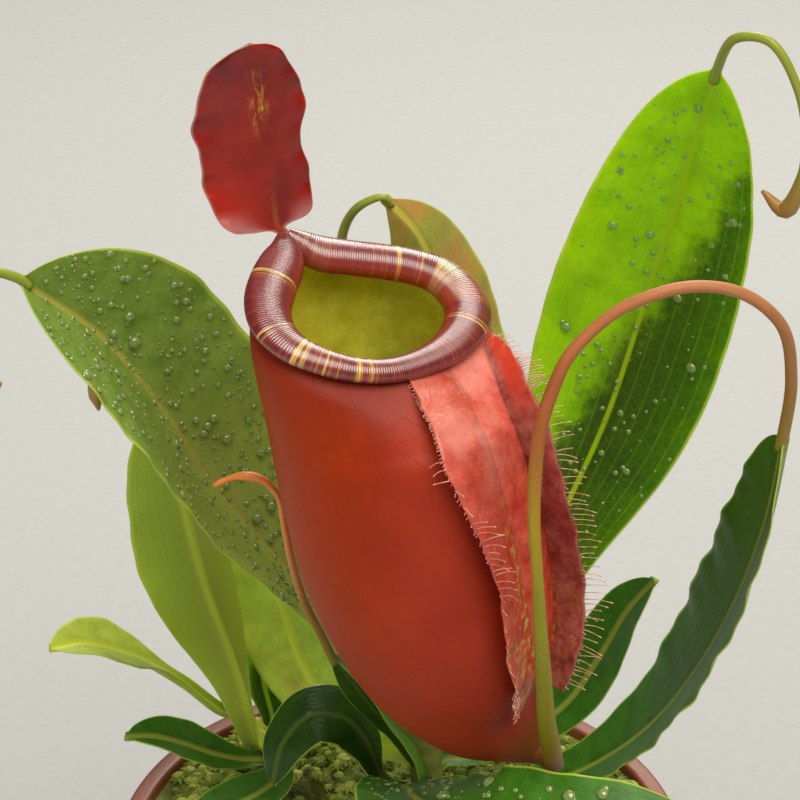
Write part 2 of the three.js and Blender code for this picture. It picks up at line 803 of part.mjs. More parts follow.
function makeWing(rows) {
  const sections = rows.map(([row, rootTurn, edgeTurn, reach]) => {
    const root = onCup(row, rootTurn, WING_SEAT);
    const edge = onCup(row, edgeTurn, reach);
    const middle = onCup(row, (rootTurn + edgeTurn) / 2, WING_SEAT + 0.62 * reach);
    const outward = onCup(row, rootTurn, 1).sub(onCup(row, rootTurn, 0));
    const along = onCup(row - ROW_STEP, rootTurn, 0).sub(onCup(row + ROW_STEP, rootTurn, 0));
    const face = edge.clone().sub(root).cross(along).normalize();
    if (face.dot(outward) < 0) face.negate();
    const outer = [root, middle, edge].map((p) => p.clone().addScaledVector(face, WING_THICKNESS));
    return edgeTurn < rootTurn ? [...outer, edge, middle, root] : [root, middle, edge, ...outer.reverse()];
  });
  return new LoftGeometry(sections, { capStart: true, capEnd: true });
}

// The lid stands behind the neck on a short stalk: a rounded blade, bent back on each side of its midrib.
const LID_BASE = [-25.5, -28.7, 289.2];
const LID_HEIGHT = 43;
const LID_LEAN = [-5.6, -0.5];
const LID_AZIMUTH = THREE.MathUtils.degToRad(-60);
const LID_BEND = 0.25;
// Rows of [share of the height, half width as a share].
const LID_OUTLINE = [
  [-0.06, 0.09],
  [0, 0.1],
  [0.035, 0.45],
  [0.1, 0.86],
  [0.22, 0.96],
  [0.4, 0.97],
  [0.56, 1],
  [0.7, 0.97],
  [0.82, 0.82],
  [0.93, 0.52],
  [1, 0.16],
];

function makeLid() {
  const facing = new THREE.Vector3(Math.cos(LID_AZIMUTH), Math.sin(LID_AZIMUTH), 0);
  const across = new THREE.Vector3(-facing.y, facing.x, 0);
  const sections = LID_OUTLINE.map(([share, width]) => {
    const centre = new THREE.Vector3(LID_LEAN[0] * share, LID_LEAN[1] * share, LID_HEIGHT * share);
    const half = LID_HALF_WIDTH * width;
    const line = [-1, -0.5, 0, 0.5, 1].map((q) => [q * half, -LID_BEND * Math.abs(q * half)]);
    const front = line.map(([a, b]) => centre.clone().addScaledVector(across, a).addScaledVector(facing, b));
    const back = front.map((p) => p.clone().addScaledVector(facing, -LID_THICKNESS));
    return [...front, ...back.reverse()];
  });
  return new LoftGeometry(sections, { capStart: true, capEnd: true });
}

// Assembly.
addPiece("pot", makePot(), mouldedPlastic());
addPiece("growing_medium", makeMoss(), liveMoss());
addPiece("stem_main", stemTube(MAIN_STEM), plantTissue(COLOURS.stem));
addPiece("stem_side", stemTube(SIDE_STEM), plantTissue(COLOURS.stem));
addLeaves();
addSpear();
addTendrils();
addYoungPitcher();
addPiece("pitcher_cup", makeCup(), plantTissue(COLOURS.cup, 0.35));
addPiece("pitcher_lip", makeLip(), plantTissue(COLOURS.lip, 0.2));
addPiece("wing_near", makeWing(NEAR_WING), plantTissue(COLOURS.wing));
addPiece("wing_far", makeWing(FAR_WING), plantTissue(COLOURS.wingShaded));
addPiece("pitcher_lid", makeLid(), plantTissue(COLOURS.lid, 0.35), LID_BASE);

export default plant;
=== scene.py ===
# %% [markdown]
# # A potted tropical pitcher plant
#
# The plant is a rosette of strap-shaped leaves in a round pot of moss. One leaf carries a large red
# pitcher on its tendril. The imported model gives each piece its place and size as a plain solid. This
# lesson replaces the solids one by one with finer surfaces, worked out with numpy in the same place,
# and paints each surface with nodes. The lengths are in millimetres until a mesh is made.

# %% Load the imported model
import json

import bpy
import numpy as np
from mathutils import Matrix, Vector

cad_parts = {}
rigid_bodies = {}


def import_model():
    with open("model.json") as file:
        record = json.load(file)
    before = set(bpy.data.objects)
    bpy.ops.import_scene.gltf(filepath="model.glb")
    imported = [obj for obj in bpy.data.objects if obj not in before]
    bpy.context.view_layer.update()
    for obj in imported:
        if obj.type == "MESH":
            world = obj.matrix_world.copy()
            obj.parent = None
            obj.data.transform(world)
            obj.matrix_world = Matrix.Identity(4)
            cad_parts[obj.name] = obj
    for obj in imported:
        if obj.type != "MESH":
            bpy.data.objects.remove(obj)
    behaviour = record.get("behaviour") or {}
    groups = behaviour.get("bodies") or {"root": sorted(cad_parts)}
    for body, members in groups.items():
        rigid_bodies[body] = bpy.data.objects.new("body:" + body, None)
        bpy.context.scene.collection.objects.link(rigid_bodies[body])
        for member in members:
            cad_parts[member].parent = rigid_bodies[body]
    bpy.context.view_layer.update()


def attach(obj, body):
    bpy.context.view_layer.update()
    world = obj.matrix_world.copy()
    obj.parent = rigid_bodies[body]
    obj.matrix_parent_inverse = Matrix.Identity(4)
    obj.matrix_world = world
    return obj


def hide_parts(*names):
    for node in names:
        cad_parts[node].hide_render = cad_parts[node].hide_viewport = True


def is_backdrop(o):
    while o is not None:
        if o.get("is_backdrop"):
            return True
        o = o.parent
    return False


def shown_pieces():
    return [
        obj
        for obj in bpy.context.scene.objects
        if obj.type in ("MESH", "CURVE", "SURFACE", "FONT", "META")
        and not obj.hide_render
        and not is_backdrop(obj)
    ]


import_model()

MM = 0.001

# %% [markdown]
# ## Camera
#
# The photograph looks down on the pitcher at 28 degrees from 65 cm away, which is close to the way a
# person bends over a pot on a bench. A long lens keeps the leaves at the back nearly as large as
# those in front. The camera stands on the line through the middle of the picture.

# %% The camera
LOOK_DOWN = 28
LENS_MM = 132.95
SENSOR_MM = 36
LOOK_AT = np.array([0, -45, 255])
VIEW_DISTANCE = 650

lens = bpy.data.cameras.new("camera")
lens.lens, lens.sensor_width = LENS_MM, SENSOR_MM
camera = bpy.data.objects.new("camera", lens)
bpy.context.scene.collection.objects.link(camera)
down = np.radians(LOOK_DOWN)
camera.location = (LOOK_AT + VIEW_DISTANCE * np.array([0, -np.cos(down), np.sin(down)])) * MM
camera.rotation_euler = (np.pi / 2 - down, 0, 0)
bpy.context.scene.camera = camera
print("camera at", np.round(camera.location, 4).tolist(), "m")

# %% [markdown]
# ## Nodes
#
# Every finish below is a small node tree. Two helpers keep them short: one turns a hex colour, as a
# paint program shows it, into the linear numbers that a renderer adds up, and one adds a node with
# its settings, its values and its links in a single line. An input goes by its name or its number.
# MapRange reads input 0 between inputs 1 and 2 and gives a value between 3 and 4. Mix lays colour 7
# over colour 6 by the share at 0, and Math works on 0, 1 and 2.


# %% Colours and nodes
def linear_colour(hue):
    """Linear RGBA of a #rrggbb colour: a straight part near black, then a power of 2.4."""
    shown = np.array([int(hue[i : i + 2], 16) for i in (1, 3, 5)]) / 255
    light = np.where(shown <= 0.04045, shown / 12.92, ((shown + 0.055) / 1.055) ** 2.4)
    return (*light.tolist(), 1.0)


# This setting bends a MapRange node's straight line into an S curve.
S_CURVE = {"interpolation_type": "SMOOTHSTEP"}


def add_node(tree, kind, inputs=None, stops=(), **settings):
    """Adds a node. An input takes a number, a hex colour, a socket, or a node for its first live output."""
    node = tree.nodes.new("ShaderNode" + kind)
    for name, value in settings.items():
        setattr(node, name, value)
    for i, (at, hue) in enumerate(stops):
        elements = node.color_ramp.elements
        stop = elements[i] if i < 2 else elements.new(at)
        stop.position, stop.color = at, linear_colour(hue)
    for name, value in (inputs or {}).items():
        socket = node.inputs[name]
        if isinstance(value, bpy.types.Node):
            value = next(out for out in value.outputs if out.enabled)
        if isinstance(value, bpy.types.NodeSocket):
            tree.links.new(value, socket)
        else:
            socket.default_value = linear_colour(value) if isinstance(value, str) else value
    return node


def material_of(name, paint, **surface):
    """A material whose surface is one Principled shader. paint(tree) gives its painted inputs."""
    material = bpy.data.materials.new(name)
    material.use_nodes = True
    tree = material.node_tree
    tree.nodes.clear()
    inputs = {label.replace("_", " "): value for label, value in surface.items()}
    shader = add_node(tree, "BsdfPrincipled", {**inputs, **paint(tree)})
    add_node(tree, "OutputMaterial", {"Surface": shader})
    return material


# %% [markdown]
# ## Light and floor
#
# The plant stands on a plain floor that runs far enough back to fill the picture. A distant soft lamp
# above on the right lights plant and floor evenly and draws the bright streaks on the lip. A weaker
# one at the left opens the shadows and is left out of reflections, so that it adds no second set of
# highlights. A third, behind and above, shines through the leaves.

# %% Light and floor
FLOOR_SIZE = 6.0
AMBIENT_LIGHT, BACKDROP_LIGHT = 0.1, 0.7


def add_lamp(name, place, aim, size, power, hue, far=False):
    """A soft lamp at place, facing aim, both in metres.

    size is the side of a square lamp, or for a far lamp, which lights the floor evenly, its angle.
    """
    lamp = bpy.data.lights.new(name, "SUN" if far else "AREA")
    setattr(lamp, "angle" if far else "size", size)
    lamp.energy, lamp.color = power, linear_colour(hue)[:3]
    holder = bpy.data.objects.new(name, lamp)
    bpy.context.scene.collection.objects.link(holder)
    holder.location = place
    toward = Vector(aim) - Vector(place)
    holder.rotation_euler = toward.to_track_quat("-Z", "Y").to_euler()
    return holder


add_lamp("key_lamp", (0.3, -0.5, 1.25), (0, -0.03, 0.22), 0.9, 3.5, "#fff8ee", far=True)
fill_lamp = add_lamp("fill_lamp", (-0.8, -0.8, 0.6), (0, -0.03, 0.2), 0.9, 5, "#f2f5ff")
fill_lamp.visible_glossy = False
add_lamp("back_lamp", (0.2, 0.85, 0.95), (0, 0, 0.22), 0.6, 9.5, "#fffdf4")

world = bpy.data.worlds.new("studio")
world.use_nodes = True
sky = world.node_tree
sky.nodes.clear()
seen = add_node(sky, "LightPath").outputs["Is Camera Ray"]
brightness = add_node(sky, "MapRange", {0: seen, 3: AMBIENT_LIGHT, 4: BACKDROP_LIGHT})
backdrop = add_node(sky, "Background", {"Color": "#f0efed", "Strength": brightness})
add_node(sky, "OutputWorld", {"Surface": backdrop})
bpy.context.scene.world = world
bpy.context.scene.view_settings.view_transform = "Standard"

corner = FLOOR_SIZE / 2
sheet = bpy.data.meshes.new("floor")
corners = [(-corner, -corner, 0), (corner, -corner, 0), (corner, corner, 0), (-corner, corner, 0)]
sheet.from_pydata(corners, [], [(0, 1, 2, 3)])
floor = bpy.data.objects.new("floor", sheet)
bpy.context.scene.collection.objects.link(floor)


def paper_paint(tree):
    """A very faint tooth, so that the floor isn't one flat tone."""
    place = add_node(tree, "TexCoord").outputs["Object"]
    tooth = add_node(tree, "TexNoise", {"Vector": place, "Scale": 300})
    return {"Base Color": add_node(tree, "ValToRGB", {"Fac": tooth}, [(0.3, "#a5a6a4"), (0.7, "#a9aaa8")])}


sheet.materials.append(material_of("Matt_Paper", paper_paint, Roughness=0.85))
floor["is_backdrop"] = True

# %% [markdown]
# ## Lines and skins
#
# Nearly every piece of this plant is a skin stretched over rings: a leaf is a row of flat rings
# along its midrib, a tendril a row of round ones, and the pitcher a row of rings from its foot to its
# mouth. So two helpers do most of the work. One reads a smooth line, or a smooth skin, between a few
# rows that are given. The other closes a grid of points into a mesh that has no open edge.


# %% Smooth lines through given rows
def through(rows, at):
    """Reads rows (points or whole rings) at row numbers, smoothly: between two rows runs a cubic.

    Its end slopes come from the rows before and after, weighted by the square root of their distances
    (a centripetal Catmull-Rom curve). Beyond each end the nearest step is repeated.
    """
    rows = np.asarray(rows, float)
    chain = np.concatenate([2 * rows[:1] - rows[1:2], rows, 2 * rows[-1:] - rows[-2:-1]])
    step = np.linalg.norm(np.diff(chain[..., :3], axis=0), axis=-1)
    gap = np.sqrt(step.reshape(len(step), -1).mean(axis=1))
    at = np.clip(np.asarray(at, float), 0, len(rows) - 1)
    k = np.minimum(at.astype(int), len(rows) - 2)
    column = (-1,) + (1,) * (rows.ndim - 1)
    w = (at - k).reshape(column)
    p0, p1, p2, p3 = (chain[k + i] for i in range(4))
    g0, g1, g2 = (gap[k + i].reshape(column) for i in range(3))
    leaving = g1 * ((p1 - p0) / g0 - (p2 - p0) / (g0 + g1) + (p2 - p1) / g1)
    arriving = g1 * ((p2 - p1) / g1 - (p3 - p1) / (g1 + g2) + (p3 - p2) / g2)
    square = 3 * (p2 - p1) - 2 * leaving - arriving
    cube = 2 * (p1 - p2) + leaving + arriving
    return p1 + w * leaving + w**2 * square + w**3 * cube


def along(rows, shares):
    """Reads the smooth line at shares of its length, and gives the length too."""
    t = np.linspace(0, len(rows) - 1, 60 * len(rows))
    run = np.concatenate([[0], np.cumsum(np.linalg.norm(np.diff(through(rows, t)[:, :3], axis=0), axis=1))])
    return through(rows, np.interp(np.asarray(shares) * run[-1], run, t)), run[-1]


def unit(vectors):
    """Each vector made one long."""
    return vectors / np.maximum(np.linalg.norm(vectors, axis=-1, keepdims=True), 1e-12)


def smoothstep(x, low, high):
    """0 below low, 1 above high, and an S curve between."""
    t = np.clip((x - low) / (high - low), 0, 1)
    return t * t * (3 - 2 * t)


def read(table, at):
    """Straight-line reading of rows of [position, value]."""
    table = np.asarray(table, float)
    return np.interp(at, table[:, 0], table[:, 1])


# %% Skins over rings
def show(name, mesh, materials, nodes=(), smooth=True):
    """Puts a mesh into the scene as a piece that rides with the plant and stands for these nodes."""
    for material in materials:
        mesh.materials.append(material)
    mesh.polygons.foreach_set("use_smooth", np.full(len(mesh.polygons), smooth))
    mesh.validate()
    piece = bpy.data.objects.new(name, mesh)
    bpy.context.scene.collection.objects.link(piece)
    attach(piece, "root")
    if nodes:
        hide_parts(*nodes)
    return piece


def skin(name, rings, grain=None, marks=None, parts=None):
    """A closed mesh over rings of points, in mm, as rows x columns x 3.

    Each ring closes on itself, and the first and last are closed by a pole at their middle. The grain
    is the skin's own map in mm, with one column more than the ring has. The marks are shares at each
    point, and parts is the number of the material for each row of faces.
    """
    rows, columns = rings.shape[:2]
    points = np.concatenate([rings.reshape(-1, 3), rings[[0, -1]].mean(axis=1)])
    i, j = (x.ravel() for x in np.meshgrid(np.arange(rows - 1), np.arange(columns), indexing="ij"))
    turn = np.arange(columns)
    quad_rows = np.stack([i, i, i + 1, i + 1], axis=1)
    quad_columns = np.stack([j, j + 1, j + 1, j], axis=1)
    quads = quad_rows * columns + quad_columns % columns
    start = np.stack([np.full(columns, rows * columns), (turn + 1) % columns, turn], axis=1)
    last = (rows - 1) * columns
    end = np.stack([np.full(columns, rows * columns + 1), last + turn, last + (turn + 1) % columns], axis=1)
    a, b, c, d = (points[quads[:, n]] for n in range(4))
    middle = points.mean(axis=0)
    twice = np.cross(c - a, d - b)
    outward = np.einsum("ij,ij->", (a + b + c + d) / 4 - middle, twice) > 0
    order = slice(None) if outward else slice(None, None, -1)
    faces = quads[:, order].tolist() + start[:, order].tolist() + end[:, order].tolist()
    mesh = bpy.data.meshes.new(name)
    mesh.from_pydata((points * MM).tolist(), [], faces)
    if grain is not None:
        at_start = np.stack([grain[0, turn], grain[0, turn + 1], grain[0, turn]], axis=1)
        at_end = np.stack([grain[-1, turn], grain[-1, turn], grain[-1, turn + 1]], axis=1)
        corners = [grain[quad_rows, quad_columns][:, order], at_start[:, order], at_end[:, order]]
        layer = mesh.uv_layers.new(name="grain")
        flat = np.concatenate([c.reshape(-1, 2) for c in corners])
        layer.uv.foreach_set("vector", flat.astype(np.float32).ravel())
    for label, values in (marks or {}).items():
        values = np.broadcast_to(values, (rows, columns) + np.shape(values)[2:])
        flat = values.reshape(rows * columns, -1)
        poles = values[[0, -1]].mean(axis=1).reshape(2, -1)
        kind = "FLOAT" if flat.shape[1] == 1 else "FLOAT_VECTOR"
        data = mesh.attributes.new(label, kind, "POINT").data
        flat = np.concatenate([flat, poles]).astype(np.float32).ravel()
        data.foreach_set("value" if kind == "FLOAT" else "vector", flat)
    if parts is not None:
        ends = np.repeat([parts[0], parts[-1]], columns)
        numbers = np.concatenate([np.asarray(parts)[i], ends])
        mesh.polygons.foreach_set("material_index", numbers.astype(np.int32))
    return mesh


def copies(name, shape, faces, places, axes, marks=None):
    """Many copies of one small closed shape in one mesh: each point is place + axes times shape, in mm."""
    points = places[:, None] + np.einsum("nij,pj->npi", axes, shape)
    shift = (np.arange(len(places)) * len(shape))[:, None, None]
    solid = [row for size in sorted({len(f) for f in faces}) for row in
             (np.array([f for f in faces if len(f) == size])[None] + shift).reshape(-1, size).tolist()]
    mesh = bpy.data.meshes.new(name)
    mesh.from_pydata((points.reshape(-1, 3) * MM).tolist(), [], solid)
    for label, values in (marks or {}).items():
        data = mesh.attributes.new(label, "FLOAT", "POINT").data
        data.foreach_set("value", np.repeat(values, len(shape)).astype(np.float32))
    return mesh


def frames_along(line, reference):
    """Tangent, side and up vectors of a line: the side is square to the tangent and the reference."""
    tangent = unit(np.gradient(line, axis=0))
    side = unit(np.cross(np.broadcast_to(reference, tangent.shape), tangent))
    return tangent, side, np.cross(tangent, side)


# %% [markdown]
# ## Leaves
#
# A leaf of this plant is a leathery strap. Its midrib is a groove above and a thick rib below, fine
# veins run beside it towards the tip, and a net of finer veins fills the rest. A modeller could
# subdivide a plane and bend it. Here each leaf is a formula instead: the midrib is a smooth line
# through given points, and rings across it get the leaf's width, fold, groove, rib and a slightly
# wavy margin. One formula then makes all fourteen leaves.

# %% Where the leaves grow
MAIN_STEM = {"foot": [6, 8, 88], "top": [6.5, 8, 138], "radii": (4.6, 3.6)}
SIDE_STEM = {"foot": [-33, 27, 92], "top": [-33, 27, 118], "radii": (3.6, 3)}
LEAF_LEAD, LEAD_RISE, LEAF_SUNK = 2.5, 0.7, 0.8

LEAVES = {
    "leaf_left": {
        "stem": MAIN_STEM, "turn": 165, "height": 126, "width": 44, "widest": 0.74, "fold": 0.65,
        "midrib": [[-14, 6, 158], [-25, 4, 179], [-45, -2, 210], [-54, -7, 230], [-68, -16, 256],
                   [-84, -28, 276]],
        "face": [[0.81, -0.54, 0.23]], "finish": "broad", "grid": (110, 45),
    },
    "leaf_back": {
        "stem": MAIN_STEM, "turn": 85, "height": 133, "width": 37, "widest": 0.55, "fold": -0.35,
        "taper": 0.95,
        "midrib": [[12, 20, 152], [14.5, 20, 182], [14.5, 15, 212], [12.5, 9.5, 238], [9.5, 4, 258],
                   [4.5, -5, 276.5], [-3, -13, 289]],
        "face": [[0.2, -1, 0.1], [0.6, -0.75, 0.15]], "finish": "flushed", "grid": (100, 41),
    },
    "leaf_right": {
        "stem": MAIN_STEM, "turn": 5, "height": 129, "width": 46, "widest": 0.6, "fold": 0.2,
        "midrib": [[25, 16, 148], [40, 26, 182], [51, 27, 211], [59, 25, 243], [65, 19, 272], [69, 10, 298],
                   [71, 1, 314]],
        "face": [[-0.2, -0.9, 0.3], [-0.3, -0.9, 0.1]], "finish": "backlit", "grid": (110, 45),
    },
    "leaf_carrier": {
        "stem": MAIN_STEM, "turn": -5, "height": 112.5, "width": 38, "widest": 0.55, "fold": 0.25,
        "midrib": [[22, 6, 114], [41, 3, 120], [60, -7, 141], [74, -22, 176], [82, -38, 216], [84, -50, 248]],
        "face": [[-0.1, -0.1, 1], [-0.7, -0.3, 0.5]], "finish": "deep", "grid": (100, 37),
    },
    "leaf_front": {
        "stem": MAIN_STEM, "turn": -80, "height": 114, "width": 32, "widest": 0.6, "fold": 0.15,
        "midrib": [[3, -10, 125], [1, -30, 142], [4, -56, 156], [14, -75, 163], [33, -85.3, 167],
                   [54, -87.5, 167.5], [75, -86, 160]],
        "face": [[0, -0.1, 1], [0.1, -0.6, 0.8]], "finish": "deep", "grid": (100, 37),
    },
    "leaf_behind": {
        "stem": MAIN_STEM, "turn": 120, "height": 118, "width": 26, "widest": 0.6, "fold": 0.25,
        "midrib": [[-13, 24, 121], [-25, 33, 134], [-31, 38, 151], [-38, 42, 173], [-41, 43, 194]],
        "face": [[-0.1, -0.9, 0.4]], "finish": "pale", "grid": (70, 31),
    },
    "leaf_aborted": {
        "stem": MAIN_STEM, "turn": -108, "height": 119.5, "width": 12, "widest": 0.5, "fold": 0.25,
        "base": 2.6,
        "midrib": [[4, -3, 126], [1, -10, 139], [-7, -17, 155], [-16, -20, 171]],
        "face": [[-0.7, -0.6, 0.4]], "finish": "dark", "grid": (60, 27),
    },
    "leaf_drooping": {
        "stem": MAIN_STEM, "turn": 205, "height": 113.5, "width": 16, "widest": 0.62, "fold": -0.1,
        "base": 2.4,
        "midrib": [[-4, -2, 124], [-8, -5, 137], [-14, -8, 146.5], [-22, -11, 149], [-29, -13, 142],
                   [-32, -15, 131]],
        "face": [[0.9, -0.2, 0.7], [-0.6, -0.75, 0.9]], "finish": "dark", "grid": (80, 31),
    },
    "leaf_low_right": {
        "stem": MAIN_STEM, "turn": 45, "height": 117, "width": 17, "widest": 0.6, "fold": 0.25, "base": 2.2,
        "midrib": [[20, 15, 119], [32, 17, 124], [43, 18, 133], [51, 17, 148], [57, 13, 164], [63, 8, 176]],
        "face": [[-0.3, -0.6, 0.8]], "finish": "deep", "grid": (60, 27),
    },
    "leaf_lower_left": {
        "stem": SIDE_STEM, "turn": 190, "height": 114.5, "width": 27, "widest": 0.55, "fold": 0.42,
        "base": 2.8,
        "midrib": [[-40, 25, 122], [-43, 25, 138], [-50, 22, 166], [-54, 18, 190], [-56, 14, 212],
                   [-56, 10, 230]],
        "face": [[-0.7, 0.62, 0.4], [-0.65, 0.6, 0.5]], "finish": "pale", "grid": (90, 37),
    },
    "leaf_small_a": {
        "stem": SIDE_STEM, "turn": 232, "height": 110.6, "width": 13, "widest": 0.55, "fold": 0.25, "base": 2,
        "midrib": [[-41, 20, 114], [-48, 14, 120], [-55, 7, 128], [-62, 0, 135], [-68, -6, 139]],
        "face": [[-0.1, -0.5, 0.8]], "finish": "deep", "grid": (50, 23),
    },
    "leaf_small_b": {
        "stem": SIDE_STEM, "turn": 298, "height": 111.5, "width": 14, "widest": 0.55, "fold": 0.25, "base": 2,
        "midrib": [[-31, 17, 113.5], [-33, 8, 115], [-38, -1, 117], [-46, -10, 119], [-55, -16, 118]],
        "face": [[0, -0.3, 1]], "finish": "deep", "grid": (50, 23),
    },
    "leaf_small_c": {
        "stem": SIDE_STEM, "turn": 100, "height": 113, "width": 13, "widest": 0.55, "fold": 0.25, "base": 2,
        "midrib": [[-34, 35, 117], [-36, 40, 123], [-38, 46, 132], [-41, 50, 143], [-43, 51, 154]],
        "face": [[0.1, -0.7, 0.6]], "finish": "backlit", "grid": (50, 23),
    },
    "leaf_stalked": {
        "stem": SIDE_STEM, "turn": 150, "height": 116, "width": 16, "widest": 0.75, "fold": 0.25, "base": 1.5,
        "stalk": 0.45,
        "midrib": [[-42, 31, 120], [-47, 29, 124], [-55, 23, 136], [-62, 15, 147], [-70, 6, 157],
                   [-78, -3, 165], [-85, -10, 168]],
        "face": [[0, -0.4, 0.9]], "finish": "pale", "grid": (60, 23),
    },
}


def midrib_points(leaf):
    """The midrib with a first point in the stem's skin and one that leads it outward."""
    stem = leaf["stem"]
    foot, top = np.array(stem["foot"], float), np.array(stem["top"], float)
    share = (leaf["height"] - foot[2]) / (top[2] - foot[2])
    angle = np.radians(leaf["turn"])
    out = np.array([np.cos(angle), np.sin(angle), 0])
    reach = stem["radii"][0] + (stem["radii"][1] - stem["radii"][0]) * share
    root = foot + (top - foot) * share + out * reach
    root[2] = leaf["height"]
    lead = root + LEAF_LEAD * out + [0, 0, LEAD_RISE * LEAF_LEAD]
    return np.array([root - LEAF_SUNK * out, lead, *leaf["midrib"]])


# %% The leaf as a formula
TIP_HALF = 1.3
BLADE_THICK, MARGIN_THICK = 0.8, 0.35
GROOVE_DEPTH, GROOVE_HALF = 0.4, 0.9
RIB_AT_BASE, RIB_AT_TIP = 1.9, 0.5
WAVE_LENGTH = 27


def leaf_half_width(leaf, s):
    """Half the width at shares s of the length: an S curve that opens, then one that draws in to the tip."""
    opening = smoothstep(s, leaf.get("stalk", 0), leaf["widest"])
    closing = np.clip((s - leaf["widest"]) / (1 - leaf["widest"]), 0, 1)
    base = leaf.get("base", 3.2)
    opened = base + (leaf["width"] / 2 - base) * opening
    return np.maximum(TIP_HALF, opened * (1 - closing**2) ** leaf.get("taper", 0.6))


def leaf_frame(leaf, s):
    """Midrib point, side and up vectors at shares s, and the midrib's length."""
    centre, length = along(midrib_points(leaf), s)
    faces = np.array([leaf["face"][0], leaf["face"][-1]], float)
    face = faces[0] + (faces[1] - faces[0]) * s[:, None]
    tangent = unit(np.gradient(centre, s, axis=0))
    side = unit(np.cross(face, tangent))
    return centre, side, np.cross(tangent, side), length


def leaf_top(leaf, q, s, half, length):
    """Height of the upper face over the midrib's plane: a soft fold, a groove, waves near the margin."""
    soft = 0.14
    fold = (np.sqrt(q**2 + soft**2) - soft) / (np.sqrt(1 + soft**2) - soft)
    groove = GROOVE_DEPTH * np.exp(-((q * half / GROOVE_HALF) ** 2))
    phase = 2 * np.pi * s * length / WAVE_LENGTH
    wave = 0.55 * np.sin(phase + 1.7 * np.sign(q)) + 0.35 * np.sin(2.3 * phase + 2.9 * np.sign(q) + 1)
    calm = smoothstep(s, 0.15, 0.4) * (1 - smoothstep(s, 0.85, 1)) * half / 20
    return leaf["fold"] * half * fold - groove + calm * wave * np.abs(q) ** 3


def leaf_skin(name, leaf):
    """Rings across the midrib: the upper face from margin to margin, then the lower face back."""
    stations, columns = leaf["grid"]
    s = 1 - (1 - np.linspace(0, 1, stations)) ** 1.5
    centre, side, up, length = leaf_frame(leaf, s)
    half = leaf_half_width(leaf, s)[:, None]
    spread = np.linspace(-1, 1, columns)
    q = (np.sign(spread) * np.abs(spread) ** 1.25)[None]
    across = q * half
    top = leaf_top(leaf, q, s[:, None], half, length)
    rib_height = (RIB_AT_BASE + (RIB_AT_TIP - RIB_AT_BASE) * s)[:, None]
    rib = rib_height * np.exp(-((across / (1.5 - 0.5 * s[:, None])) ** 2))
    thick = MARGIN_THICK + (BLADE_THICK - MARGIN_THICK) * (1 - q**2)
    low = top - thick - rib
    height = np.concatenate([top, low[:, ::-1]], axis=1)
    wide = np.concatenate([across, across[:, ::-1]], axis=1)
    rings = centre[:, None] + side[:, None] * wide[..., None] + up[:, None] * height[..., None]
    share = np.concatenate([q, q[:, ::-1]], axis=1)
    below = np.concatenate([np.zeros(columns), np.ones(columns)])[None]
    run = np.broadcast_to(s[:, None] * length, wide.shape)
    grain = np.stack([wide, run], axis=2)
    grain = np.concatenate([grain, grain[:, :1]], axis=1)
    marks = {"across": share, "below": below, "tipward": s[:, None]}
    return skin(name, rings, grain, marks)


# %% [markdown]
# ## Leaf tissue
#
# A leaf's colour comes from several layers: soft patches where the tissue is thicker or thinner, a
# net of fine veins with meshes of about 2 mm, straight veins beside the midrib, the midrib itself
# and a paler underside. The surface is waxed, so it is satin with a broad highlight. A little
# subsurface scattering lets light from behind soften the shadows. The same tree makes every leaf,
# with other colours for the young, the shaded and the sunlit ones.


